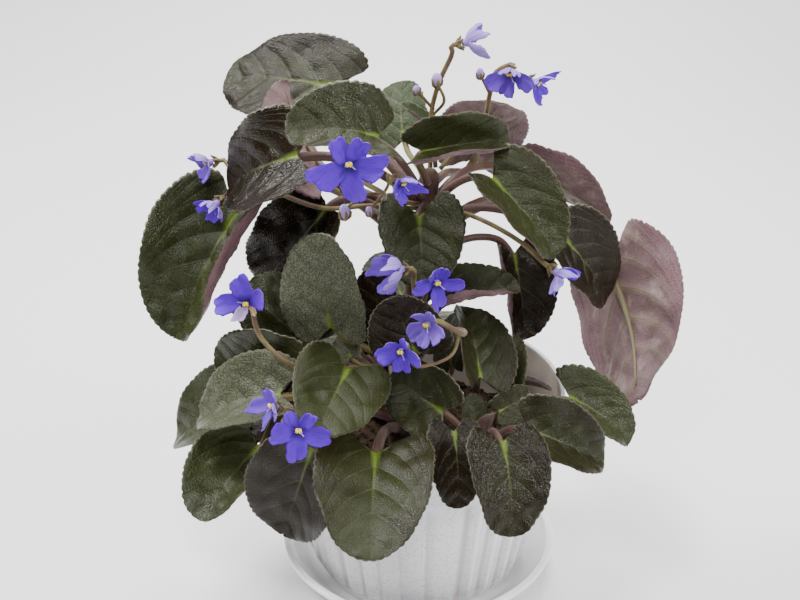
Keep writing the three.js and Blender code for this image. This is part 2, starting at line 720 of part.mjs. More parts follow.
add("saucer", saucerGeometry(), paint(0xf2f2f0, 0.15));
add("pot", potGeometry(), paint(0xe4e6ea, 0.3));
add("soil", soilGeometry(), paint(0x3a2418, 0.95));
add("main_stem", mainStemGeometry(), paint(0x4a3325, 0.7));
add("side_shoot", sideShootGeometry(), colours.green.clone());

const crowns = [
  ["leaf_upper", upperLeaves, main, colours.bronze],
  ["leaf_lower", lowerLeaves, main, colours.green],
  ["leaf_shoot", shootLeaves, shoot, colours.green],
];
for (const [prefix, rows, stem, material] of crowns) {
  rows.forEach((row, i) => {
    const name = `${prefix}_${String(i + 1).padStart(2, "0")}`;
    add(name, fused(leafGeometries(row, stem)), material.clone());
  });
}

for (const [name, pieces] of Object.entries(sprays)) {
  add(name, fused(pieces), colours.stalk.clone());
}

for (const [name, row] of Object.entries(flowers)) {
  const mesh = add(name, fused(flowerGeometries(row)), colours.petal.clone());
  mesh.applyMatrix4(row.frame);
}

export default violet;
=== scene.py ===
"""A potted african violet: an old plant on a bare leaning stem, in a fluted pot on a saucer."""
import math

import bpy
import numpy as np
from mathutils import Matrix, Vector


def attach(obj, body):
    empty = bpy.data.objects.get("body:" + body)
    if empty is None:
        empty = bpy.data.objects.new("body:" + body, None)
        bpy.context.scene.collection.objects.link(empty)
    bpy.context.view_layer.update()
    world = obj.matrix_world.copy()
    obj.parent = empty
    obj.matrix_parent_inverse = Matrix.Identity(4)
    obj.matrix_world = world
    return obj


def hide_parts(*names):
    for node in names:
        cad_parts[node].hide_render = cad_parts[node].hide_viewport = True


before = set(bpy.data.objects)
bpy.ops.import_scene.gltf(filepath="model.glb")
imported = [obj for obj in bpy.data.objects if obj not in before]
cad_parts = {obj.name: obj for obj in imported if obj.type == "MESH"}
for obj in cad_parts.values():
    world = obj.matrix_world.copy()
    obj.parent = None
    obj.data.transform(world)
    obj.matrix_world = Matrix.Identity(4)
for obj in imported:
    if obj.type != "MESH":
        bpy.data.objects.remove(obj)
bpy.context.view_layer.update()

# ---- The view ----
# The plant stands on a pale table and is seen from a little above, as by someone who sits in front
# of it. Sizes in this script are in millimetres, as a gardener measures, and MM turns them to metres.
MM = 0.001
aim = Vector((-8.5, 0, 137)) * MM
camera_distance = 642 * MM
camera_height = math.radians(29)


def added(name, data):
    """A new object in the scene."""
    thing = bpy.data.objects.new(name, data)
    bpy.context.scene.collection.objects.link(thing)
    return thing


def facing(place, target):
    """The rotation that turns a camera or a lamp at a place towards a target."""
    return (Vector(target) - Vector(place)).to_track_quat("-Z", "Y").to_euler()


camera = added("camera", bpy.data.cameras.new("camera"))
camera.data.lens = 67.5
camera.data.sensor_width = 36
camera.data.clip_start = 0.02
camera.location = aim + camera_distance * Vector((0, -math.cos(camera_height), math.sin(camera_height)))
camera.rotation_euler = facing(camera.location, aim)
bpy.context.scene.camera = camera


# ---- The saucer ----
# A glossy white moulded dish with a rounded lip. It carries the pot and lies on the table. It is
# one outline turned round the upright axis.
class Wire:
    """One output of a node. Python's operators on it add Math nodes."""

    def __init__(self, recipe, socket):
        self.recipe, self.socket = recipe, socket

    def maths(self, operation, *values):
        return self.recipe.node("ShaderNodeMath", {"operation": operation}, values)

    def __add__(self, other):
        return self.maths("ADD", self, other)

    def __sub__(self, other):
        return self.maths("SUBTRACT", self, other)

    def __rsub__(self, other):
        return self.maths("SUBTRACT", other, self)

    def __mul__(self, other):
        return self.maths("MULTIPLY", self, other)

    def __truediv__(self, other):
        return self.maths("DIVIDE", self, other)

    def __pow__(self, other):
        return self.maths("POWER", self, other)

    def __abs__(self):
        return self.maths("ABSOLUTE", self)

    __radd__ = __add__
    __rmul__ = __mul__

    def sine(self):
        return self.maths("SINE", self)

    def rise(self, low, high):
        """0 at low, 1 at high and smooth between them, so it falls where low is the larger."""
        limits = {"Value": self, "From Min": low, "From Max": high}
        return self.recipe.node("ShaderNodeMapRange", {"interpolation_type": "SMOOTHSTEP"}, limits)


class Recipe:
    """A node tree, with one method that adds any node."""

    def __init__(self, tree):
        self.tree = tree

    def node(self, kind, settings=None, inputs=(), output=0):
        """Sets the node's settings first, then its inputs by name or number, and gives one output."""
        node = self.tree.nodes.new(kind)
        for key, value in (settings or {}).items():
            setattr(node, key, value)
        for key, value in inputs.items() if isinstance(inputs, dict) else enumerate(inputs):
            self.put(node.inputs[key], value)
        return Wire(self, node.outputs[output])

    def split(self, vector):
        """The x, y and z of a vector."""
        node = self.node("ShaderNodeSeparateXYZ", None, [vector]).socket.node
        return [Wire(self, socket) for socket in node.outputs]

    def put(self, socket, value):
        """Links or sets a socket. A list links several wires to one socket."""
        for one in value if isinstance(value, list) else [value]:
            if isinstance(one, Wire):
                self.tree.links.new(one.socket, socket)
            elif socket.type == "RGBA":
                socket.default_value = (*one, 1)
            else:
                socket.default_value = one


class Finish(Recipe):
    """A material. Its fixed values are set on the shader's own sockets."""

    def __init__(self, name, fixed):
        self.material = bpy.data.materials.new(name)
        self.material.use_nodes = True
        super().__init__(self.material.node_tree)
        self.shader = self.tree.nodes["Principled BSDF"]
        self.feed(fixed)

    def feed(self, values):
        for key, value in values.items():
            self.put(self.shader.inputs[key], value)

    def wear(self, colour, roughness, relief=None):
        """What changes over the surface."""
        self.feed({"Base Color": colour, "Roughness": roughness})
        if relief:
            self.feed({"Normal": relief})

    def place(self):
        return self.node("ShaderNodeTexCoord", output="Object")

    def trait(self, name, output="Vector"):
        """An attribute that the mesh carries."""
        return self.node("ShaderNodeAttribute", {"attribute_name": name}, output=output)

    def cells(self, vector, scale):
        return self.node("ShaderNodeTexVoronoi", None, {"Vector": vector, "Scale": scale})

    def noise(self, vector, scale, detail=2.0, rough=0.5):
        inputs = {"Vector": vector, "Scale": scale, "Detail": detail, "Roughness": rough}
        return self.node("ShaderNodeTexNoise", None, inputs)

    def mix(self, share, first, second):
        return self.node("ShaderNodeMix", {"data_type": "RGBA"}, {0: share, 6: first, 7: second}, output=2)

    def bump(self, height, depth, strength=1.0):
        """A relief of the given depth in millimetres."""
        inputs = {"Strength": strength, "Distance": depth * MM, "Height": height}
        return self.node("ShaderNodeBump", None, inputs)


def filleted(outline, arc=5):
    """The outline's points, (radius, height, rounding), with each corner rounded."""
    points = []
    for (x, z, rounding), before, after in zip(outline, [None, *outline], [*outline[1:], None]):
        if not rounding or before is None or after is None:
            points.append((x, z))
            continue
        corner = np.array((x, z))
        legs = [np.array(end[:2]) - corner for end in (before, after)]
        start, end = (corner + leg * min(rounding / np.linalg.norm(leg), 0.45) for leg in legs)
        for t in np.linspace(0, 1, arc):
            points.append(tuple((1 - t) ** 2 * start + 2 * t * (1 - t) * corner + t**2 * end))
    return points


def turned(name, outline, segments):
    """A mesh turned round +Z from an outline that starts and ends on the axis."""
    points = filleted(outline)
    ring = np.linspace(0, 2 * math.pi, segments, endpoint=False)
    vertices = [(0, 0, points[0][1] * MM)]
    for radius, height in points[1:-1]:
        vertices += [(radius * math.cos(a) * MM, radius * math.sin(a) * MM, height * MM) for a in ring]
    vertices.append((0, 0, points[-1][1] * MM))
    last = len(vertices) - 1
    faces = []
    for k in range(segments):
        after = (k + 1) % segments
        faces.append((0, 1 + after, 1 + k))
        for row in range(len(points) - 3):
            low, high = 1 + row * segments, 1 + (row + 1) * segments
            faces.append((low + k, low + after, high + after, high + k))
        low = 1 + (len(points) - 3) * segments
        faces.append((low + k, low + after, last))
    mesh = bpy.data.meshes.new(name)
    mesh.from_pydata(vertices, [], faces)
    mesh.shade_smooth()
    return mesh


def piece(name, mesh, nodes, slot, *finishes):
    """A finished piece, which stands for the named CAD nodes."""
    for finish in finishes:
        mesh.materials.append(finish.material)
    thing = added(name, mesh)
    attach(thing, "root")
    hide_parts(*nodes)


saucer_outline = [
    (0, 0, 0),
    (46, 0, 2),
    (50, 1.2, 2),
    (61.5, 12, 3),
    (63, 13.4, 1.2),
    (62.4, 15, 0.9),
    (59.6, 15, 0.9),
    (58.4, 12.4, 2),
    (48.5, 3, 5),
    (0, 3, 0),
]
saucer_finish = Finish("saucer_gloss", {"Coat Weight": 0.6, "Coat Roughness": 0.05, "IOR": 1.5})
faint = saucer_finish.noise(saucer_finish.place(), 45, 3)
saucer_finish.wear(
    saucer_finish.mix(faint.rise(0.3, 0.7), (0.95, 0.95, 0.94), (0.98, 0.98, 0.98)),
    0.14 + faint * 0.12,
    saucer_finish.bump(faint, 0.25, 0.3),
)
piece("saucer_dish", turned("saucer_dish", saucer_outline, 144), ["saucer"], "saucer", saucer_finish)

# ---- The pot ----
# A white pot moulded from plastic with fine speckles: uneven upright flutes from the foot up to a smooth
# collar, a thin rim, and holes in its floor for the water. A turned wall is fluted by a geometry
# tree, and the holes are drilled through its floor. Its flutes carry painted shade in their grooves
# and a painted highlight on their ridges.
collar_bottom = 73
flute_count, flute_depth = 31, 0.95
flute_bottom, flute_top = 8, 72
wall_foot = 46
drain_count, drain_circle, drain_radius, drain_sides = 5, 26, 2.5, 20
pot_outline = [
    (0, 3.3, 0),
    (44.5, 3.3, 1.2),
    (46, 4.8, 1.2),
    (50.4, 14, 3),
    (61.4, 72, 0.8),
    (63.2, 74, 0.8),
    (64.6, 91.5, 1),
    (64, 93, 0.6),
    (62.4, 93, 0.6),
    (59.2, collar_bottom, 3),
    (47.8, 14, 6),
    (42, 6.3, 3),
    (0, 6.3, 0),
]


def growth(name, sizes):
    """A geometry tree with one geometry input and the named numbers, and the wires of them all."""
    tree = bpy.data.node_groups.new(name, "GeometryNodeTree")
    tree.interface.new_socket("Geometry", in_out="INPUT", socket_type="NodeSocketGeometry")
    for key in sizes:
        tree.interface.new_socket(key, in_out="INPUT", socket_type="NodeSocketFloat")
    tree.interface.new_socket("Geometry", in_out="OUTPUT", socket_type="NodeSocketGeometry")
    recipe = Recipe(tree)
    start = tree.nodes.new("NodeGroupInput")
    wires = {socket.name: Wire(recipe, socket) for socket in start.outputs if socket.name}
    return recipe, wires


def finish_growth(recipe, geometry):
    end = recipe.tree.nodes.new("NodeGroupOutput")
    recipe.put(end.inputs[0], geometry)


def plain_mesh(thing):
    """The mesh that an object's modifiers make. The object itself goes."""
    bpy.context.view_layer.update()
    seen = thing.evaluated_get(bpy.context.evaluated_depsgraph_get())
    result = bpy.data.meshes.new_from_object(seen)
    bpy.data.objects.remove(thing)
    return result


def grown(mesh, recipe, values):
    """The plain mesh that a geometry tree makes of a mesh."""
    thing = added(mesh.name + "_base", mesh)
    modifier = thing.modifiers.new("growth", "NODES")
    modifier.node_group = recipe.tree
    for socket in recipe.tree.interface.items_tree:
        if socket.in_out == "INPUT" and socket.name in values:
            modifier[socket.identifier] = values[socket.name]
    result = plain_mesh(thing)
    result.name = mesh.name
    return result


def flute_tree():
    """Pushes the outer wall in and out round the pot, in ribs of uneven width."""
    recipe, size = growth("flutes", ["Count", "Depth", "Bottom", "Top", "Wall"])
    x, y, z = recipe.split(recipe.node("GeometryNodeInputPosition"))
    angle = y.maths("ARCTAN2", y, x)
    radius = (x * x + y * y) ** 0.5
    uneven = (angle * 3 + 0.7).sine() * 1.3 + (angle * 7).sine() * 0.8 + (angle * 13 + 2).sine() * 0.4
    wave = (angle * size["Count"] + uneven).sine() * 0.55
    rib = (1 - abs((angle * size["Count"] / 2 + uneven).sine())) ** 3
    fine = (angle * 61 + uneven * 2).sine() * 0.2 + rib * 0.9
    outside = (radius - size["Wall"] - z * 0.2).rise(0, 0.0006)
    band = z.rise(size["Bottom"], size["Bottom"] + 0.006) * z.rise(size["Top"], size["Top"] - 0.004)
    push = (wave + fine - 1) * size["Depth"] * outside * band
    normal = recipe.node("GeometryNodeInputNormal")
    offset = recipe.node("ShaderNodeVectorMath", {"operation": "SCALE"}, {0: normal, "Scale": push})
    marked = recipe.node(
        "GeometryNodeStoreNamedAttribute",
        {"data_type": "FLOAT", "domain": "POINT"},
        {"Geometry": size["Geometry"], "Name": "flute", "Value": (wave + fine) * outside * band},
    )
    moved = recipe.node("GeometryNodeSetPosition", None, {"Geometry": marked, "Offset": offset})
    finish_growth(recipe, moved)
    return recipe


def with_rows(outline, low, high, count):
    """More points on the straight stretch from low to high, so that the flutes can bend it."""
    (x0, z0, _), (x1, z1, _) = outline[low], outline[high]
    shares = np.linspace(0, 1, count + 2)[1:-1]
    rows = [(x0 + (x1 - x0) * s, z0 + (z1 - z0) * s, 0) for s in shares]
    return outline[: low + 1] + rows + outline[high:]


def drill_mesh():
    """Upright rods where the drain holes go, long enough to pass through the floor."""
    points, faces = [], []
    ring = np.linspace(0, 2 * math.pi, drain_sides, endpoint=False)
    for hole in range(drain_count):
        turn = hole / drain_count * 2 * math.pi
        middle_x, middle_y = drain_circle * math.cos(turn), drain_circle * math.sin(turn)
        low = [len(points) + k for k in range(drain_sides)]
        high = [index + drain_sides for index in low]
        for z in (0, 12):
            for a in ring:
                x, y = middle_x + drain_radius * math.cos(a), middle_y + drain_radius * math.sin(a)
                points.append((x * MM, y * MM, z * MM))
        faces += [low[::-1], high]
        faces += zip(low, low[1:] + low[:1], high[1:] + high[:1], high)
    mesh = bpy.data.meshes.new("drill")
    mesh.from_pydata(points, [], faces)
    return mesh


flute_sizes = {"Count": flute_count, "Depth": flute_depth * MM, "Wall": wall_foot * MM}
flute_sizes.update({"Bottom": flute_bottom * MM, "Top": flute_top * MM})
wall = turned("pot_wall", with_rows(pot_outline, 3, 4, 24), 480)
blank = added("blank", grown(wall, flute_tree(), flute_sizes))
drill = added("drill", drill_mesh())
cut = blank.modifiers.new("holes", "BOOLEAN")
cut.object, cut.solver = drill, "EXACT"
pot_mesh = plain_mesh(blank)
pot_mesh.shade_smooth()
bpy.data.objects.remove(drill)

pot_finish = Finish("speckled_pot", {"Coat Weight": 0.15, "Coat Roughness": 0.2, "IOR": 1.48})
spot = pot_finish.place()
fine_grain = pot_finish.noise(spot, 900, 2)
speck = pot_finish.cells(spot, 900).rise(0.42, 0.25) * pot_finish.noise(spot, 420).rise(0.44, 0.56)
cloud = pot_finish.noise(spot, 60, 3).rise(0.35, 0.7)
ground = pot_finish.mix(cloud, (0.7, 0.7, 0.72), (0.78, 0.78, 0.785))
speckles_and_flute_shading = pot_finish.mix(speck * 0.6, ground, (0.27, 0.31, 0.42))
speckles_and_flute_shading = pot_finish.mix(fine_grain.rise(0.55, 0.7) * 0.45, speckles_and_flute_shading, (0.5, 0.52, 0.6))
# Painted light on the flutes: the grooves are painted darker as shade and the ridges paler as a highlight.
flute = pot_finish.trait("flute", "Fac")
speckles_and_flute_shading = pot_finish.mix(flute.rise(0, -0.8) * 0.5, speckles_and_flute_shading, (0.4, 0.4, 0.43))
speckles_and_flute_shading = pot_finish.mix(flute.rise(0.5, 1.2) * 0.7, speckles_and_flute_shading, (0.92, 0.92, 0.92))
# The inner wall above the floor is painted a darker beige: partly its own tone, partly painted shade within
# the pot.
_, _, height = pot_finish.split(spot)
apart = pot_finish.node("ShaderNodeVectorMath", {"operation": "LENGTH"}, [spot], output=1)
inner = ((apart * apart - height * height) ** 0.5 - height * 0.19 - 0.0455).rise(0.0009, 0.0002)
inside_tone_and_shade = inner * height.rise(0.006, 0.01) * height.rise(0.093, 0.0915)
pot_finish.wear(
    pot_finish.mix(inside_tone_and_shade * 0.85, speckles_and_flute_shading, (0.42, 0.36, 0.29)),
    0.3 + cloud * 0.12,
    pot_finish.bump(fine_grain + cloud, 0.12, 0.5),
)
piece("pot_shell", pot_mesh, ["pot"], "pot", pot_finish)

# ---- The soil ----
# Dark, crumbly potting soil with reddish fibres and a few white grains. The two stems stand in it.
# Its surface is one disc, and the loose crumbs on it are scattered by a geometry tree.
soil_top = 62
main_foot = (-8, -3, 6.0)
shoot_foot = (27, -25, 3.2)
crumb_sizes = {"Density": 160000.0, "Smallest": 0.5 * MM, "Largest": 1.3 * MM, "Seed": 5, "Lowest": 58 * MM}


def soil_height(x, y):
    rolling = 1.1 * np.sin(0.23 * x + 1) * np.cos(0.19 * y) + 0.7 * np.sin(0.5 * x - 0.4 * y)
    return soil_top + rolling + 0.35 * np.sin(1.3 * x + 0.6 * y) * np.sin(1.1 * y - 0.4 * x)


def soil_mesh():
    mesh = turned(
        "soil_body",
        [(0, 6.6, 0), (41.2, 6.6, 2), (47.3, 14, 3), (56.4, soil_top, 0)]
        + [(56.4 - step * 1.4, soil_top, 0) for step in range(1, 40)]
        + [(0, soil_top, 0)],
        150,
    )
    for vertex in mesh.vertices:
        x, y, z = (value / MM for value in vertex.co)
        if z > soil_top - 1:
            lift = soil_height(x, y)
            for foot_x, foot_y, foot_radius in (main_foot, shoot_foot):
                away = math.hypot(x - foot_x, y - foot_y) - foot_radius
                lift -= 2.2 * math.exp(-((away / 1.6) ** 2)) if away > -1 else 20 * (away < -1)
            vertex.co.z = lift * MM
    return mesh


def chance(recipe, low, high, seed):
    """A random number, or a random vector, for each scattered thing."""
    is_vector = isinstance(high, tuple)
    settings = {"data_type": "FLOAT_VECTOR" if is_vector else "FLOAT"}
    first, output = (0, 0) if is_vector else (2, 1)
    inputs = {first: low, first + 1: high, "Seed": seed}
    return recipe.node("FunctionNodeRandomValue", settings, inputs, output)


def scatter(recipe, ground, points, thing, turn, scale, material):
    """Ends a tree with real copies of a thing on the points, in their material, and the ground."""
    inputs = {"Points": points, "Instance": thing, "Rotation": turn, "Scale": scale}
    copies = recipe.node("GeometryNodeInstanceOnPoints", None, inputs)
    real = recipe.node("GeometryNodeRealizeInstances", None, [copies])
    dressed = recipe.node("GeometryNodeSetMaterial", None, {"Geometry": real, "Material": material})
    finish_growth(recipe, recipe.node("GeometryNodeJoinGeometry", None, [[dressed, ground]]))


def crumb_tree(material):
    """Scatters small lumps on the faces that look up, and turns each one its own way."""
    recipe, size = growth("crumbs", ["Density", "Smallest", "Largest", "Seed", "Lowest"])
    lump = recipe.node("GeometryNodeMeshIcoSphere", None, {"Radius": 1.0, "Subdivisions": 1})
    rough = recipe.node("ShaderNodeTexNoise", None, {"Scale": 1.7}, output="Color")
    shift = recipe.node("ShaderNodeVectorMath", {"operation": "SUBTRACT"}, [rough, (0.5, 0.5, 0.5)])
    lump = recipe.node("GeometryNodeSetPosition", None, {"Geometry": lump, "Offset": shift})
    _, _, height = recipe.split(recipe.node("GeometryNodeInputPosition"))
    _, _, level = recipe.split(recipe.node("GeometryNodeInputNormal"))
    chosen = height.maths("GREATER_THAN", height, size["Lowest"]) * level.maths("GREATER_THAN", level, 0.4)
    inputs = {"Mesh": size["Geometry"], "Density": size["Density"], "Selection": chosen, "Seed": size["Seed"]}
    points = recipe.node("GeometryNodeDistributePointsOnFaces", None, inputs)
    turn = chance(recipe, (0, 0, 0), (6.3, 6.3, 6.3), size["Seed"])
    bigness = chance(recipe, size["Smallest"], size["Largest"], size["Seed"])
    scatter(recipe, size["Geometry"], points, lump, turn, bigness, material)
    return recipe


soil_finish = Finish("potting_soil", {"Specular IOR Level": 0.2})
spot = soil_finish.place()
coarse = soil_finish.noise(spot, 260, 4, 0.6)
grains = soil_finish.noise(spot, 1500, 3, 0.6)
fibre = soil_finish.cells(spot, 700).rise(0.2, 0.1)
dark = soil_finish.mix(coarse.rise(0.35, 0.65), (0.012, 0.008, 0.004), (0.055, 0.03, 0.015))
earth = soil_finish.mix(grains.rise(0.5, 0.75) * 0.6, dark, (0.14, 0.078, 0.038))
soil_finish.wear(
    soil_finish.mix(fibre * coarse.rise(0.52, 0.6) * 0.7, earth, (0.4, 0.33, 0.25)),
    0.75 + grains * 0.25,
    soil_finish.bump(coarse + grains * 0.5, 0.9),
)
soil_base = soil_mesh()
soil_base.materials.append(soil_finish.material)
piece("soil_surface", grown(soil_base, crumb_tree(soil_finish.material), crumb_sizes), ["soil"], "soil")


# ---- The old stem and the side shoot ----
# Bare brown stems, ringed with the scars of leaves that dropped off. Each is a tube round a smooth
# path, rounded at its top, and stands in the soil.
def smooth_path(points, count):
    """Points at even steps on a curve through the given ones."""
    points = np.array(points, float)
    ends = np.vstack([2 * points[0] - points[1], points, 2 * points[-1] - points[-2]])
    t = np.linspace(0, 1, 16, endpoint=False)[:, None]
    fine = []
    for p0, p1, p2, p3 in zip(ends, ends[1:], ends[2:], ends[3:]):
        d0, d1, d2 = (np.linalg.norm(b - a) ** 0.5 for a, b in ((p0, p1), (p1, p2), (p2, p3)))
        leave = d1 * ((p1 - p0) / d0 - (p2 - p0) / (d0 + d1) + (p2 - p1) / d1)
        enter = d1 * ((p2 - p1) / d1 - (p3 - p1) / (d1 + d2) + (p3 - p2) / d2)
        curve = (2 * t**3 - 3 * t**2 + 1) * p1 + (t**3 - 2 * t**2 + t) * leave
        fine.append(curve + (3 * t**2 - 2 * t**3) * p2 + (t**3 - t**2) * enter)
    fine = np.vstack([*fine, points[-1:]])
    way = walked(fine)
    steps = np.linspace(0, way[-1], count)
    return np.stack([np.interp(steps, way, fine[:, k]) for k in range(3)], axis=1)


def unit(vectors):
    return vectors / np.maximum(np.linalg.norm(vectors, axis=-1, keepdims=True), 1e-9)


def walked(path):
    """How far along a path each of its points lies."""
    return np.concatenate([[0], np.cumsum(np.linalg.norm(np.diff(path, axis=0), axis=1))])


def abreast(*parts):
    """Arrays and numbers side by side, as the last axis of one array."""
    return np.stack(np.broadcast_arrays(*parts), axis=-1)


def tube(path, radii, sides, marks=None):
    """A closed tube round a path: its vertices, its faces, and each vertex's way and angle."""
    tangents = unit(np.gradient(path, axis=0))
    side = unit(np.cross(tangents[0], (0.31, 0.77, 0.56)))
    rings = []
    angles = np.linspace(0, 2 * math.pi, sides, endpoint=False)
    for k, (centre, tangent) in enumerate(zip(path, tangents)):
        side = unit(side - tangent * np.dot(side, tangent))
        over = np.cross(tangent, side)
        swell = radii[k] * (marks(k / (len(path) - 1), angles) if marks else np.ones(sides))
        spokes = np.outer(np.cos(angles), side) + np.outer(np.sin(angles), over)
        rings.append(centre + swell[:, None] * spokes)
    vertices = np.vstack([*rings, path[:1], path[-1:]])
    count = len(path)
    start, end = count * sides, count * sides + 1
    faces = []
    for k in range(sides):
        after = (k + 1) % sides
        faces.append((start, after, k))
        faces.append((end, (count - 1) * sides + k, (count - 1) * sides + after))
        for row in range(count - 1):
            low, high = row * sides, (row + 1) * sides
            faces.append((low + k, low + after, high + after, high + k))
    way = [*np.repeat(np.linspace(0, 1, count), sides), 0, 1]
    turn = [*np.tile(angles, count), 0, 0]
    return vertices, faces, abreast(way, turn)


class Body:
    """Collects shells into one mesh, with the attributes that its materials read."""

    names = {"place": "FLOAT_VECTOR", "flat": "FLOAT_VECTOR", "look": "FLOAT_VECTOR", "vein": "FLOAT"}

    def __init__(self):
        self.vertices, self.faces, self.kinds = [], [], []
        self.values = {name: [] for name in self.names}
        self.count = 0

    def add(self, shell, kind=0, **values):
        """A shell's vertices and faces, the number of its material, and its attributes."""
        vertices, faces = shell[:2]
        self.vertices.append(vertices)
        self.faces += [tuple(self.count + index for index in face) for face in faces]
        self.kinds += [kind] * len(faces)
        for name, form in self.names.items():
            width = 3 if form == "FLOAT_VECTOR" else 1
            self.values[name].append(np.zeros((len(vertices), width)) + np.asarray(values.get(name, 0.0)))
        self.count += len(vertices)

    def mesh(self, name, *finishes):
        mesh = bpy.data.meshes.new(name)
        mesh.from_pydata((np.vstack(self.vertices) * MM).tolist(), [], self.faces)
        for key, form in self.names.items():
            attribute = mesh.attributes.new(key, form, "POINT")
            field = "vector" if form == "FLOAT_VECTOR" else "value"
            attribute.data.foreach_set(field, np.vstack(self.values[key]).astype(np.float32).ravel())
        mesh.polygons.foreach_set("material_index", self.kinds)
        mesh.shade_smooth()
        for finish in finishes:
            mesh.materials.append(finish.material)
        return mesh


main_path = smooth_path(
    [
        (main_foot[0], main_foot[1], 38),
        (main_foot[0], main_foot[1], 66),
        (-8, -4, 88),
        (-5, -3, 115),
        (-2, -2, 140),
        (1, -1, 168),
        (4, 0, 198),
    ],
    241,
)
shoot_path = smooth_path([(27, -25, 38), (27, -25, 66), (28, -27, 80), (29, -30, 94)], 91)


def main_radius(way):
    return main_foot[2] - 1.6 * way**2 + 1.2 * np.sin(40 * way) * way * (1 - way)


def shoot_radius(way):
    return shoot_foot[2] - 0.8 * way


main_stem = (main_path, main_radius)
side_shoot = (shoot_path, shoot_radius)
bark_random = np.random.default_rng(8)
scar_spacing = 0.018
scars = [(way, bark_random.uniform(0, 6.28)) for way in np.arange(0.2, 0.97, scar_spacing)]


def bark_marks(way, angles):
    """Swellings and pits round the stem: rings, and the scar of each lost leaf."""
    swell = 1 + 0.02 * np.sin(170 * way + 0.6 * np.sin(3 * angles)) + 0.012 * np.sin(7 * angles + 60 * way)
    for scar_way, scar_angle in scars:
        if abs(way - scar_way) > 0.03:
            continue
        turn = np.angle(np.exp(1j * (angles - scar_angle)))
        near = np.exp(-(((way - scar_way) / 0.011) ** 2) - (turn / 0.5) ** 2)
        swell += 0.13 * near - 0.15 * near**6
    taper = min(1.0, (1.0 - way) / 0.02 + 0.25) ** 0.5
    return swell * taper * 0.94


bark_finish = Finish("old_stem", {"Specular IOR Level": 0.3, "Sheen Weight": 0.15, "Sheen Roughness": 0.5})
spot = bark_finish.place()
patch = bark_finish.noise(spot, 170, 4, 0.65)
thread = bark_finish.noise(spot, 1100, 3)
_, _, height = bark_finish.split(spot)
wood = bark_finish.mix(patch.rise(0.35, 0.65), (0.03, 0.014, 0.008), (0.13, 0.075, 0.04))
bark_finish.wear(
    bark_finish.mix(height.rise(0.15, 0.195) * 0.7, wood, (0.035, 0.01, 0.008)),
    0.6 + thread * 0.3,
    bark_finish.bump(patch + thread * 0.4, 0.5),
)
barks = (("bark", "main_stem", main_stem), ("shoot_bark", "side_shoot", side_shoot))
for name, node, (path, radius) in barks:
    body = Body()
    body.add(tube(path, radius(np.linspace(0, 1, len(path))), 36, bark_marks))
    piece(name, body.mesh(name, bark_finish), [node], "stem")

# ---- The leaves ----
# Thick, heart-shaped, hairy blades with scalloped edges, each on its own round leafstalk. The upper
# side is pebbled, with a sunk midrib and arching side veins; the underside is mauve, veins raised.
blade_thickness = 1.0
scallop_pitch, scallop_depth = 3.2, 0.62
quilt_height, groove_depth, vein_depth, vein_height = 0.42, 0.5, 0.25, 0.5
hair = {"Length": 0.75 * MM, "Radius": 0.024 * MM, "Edge": 2400000.0, "Skin": 150000.0, "Seed": 3.0}


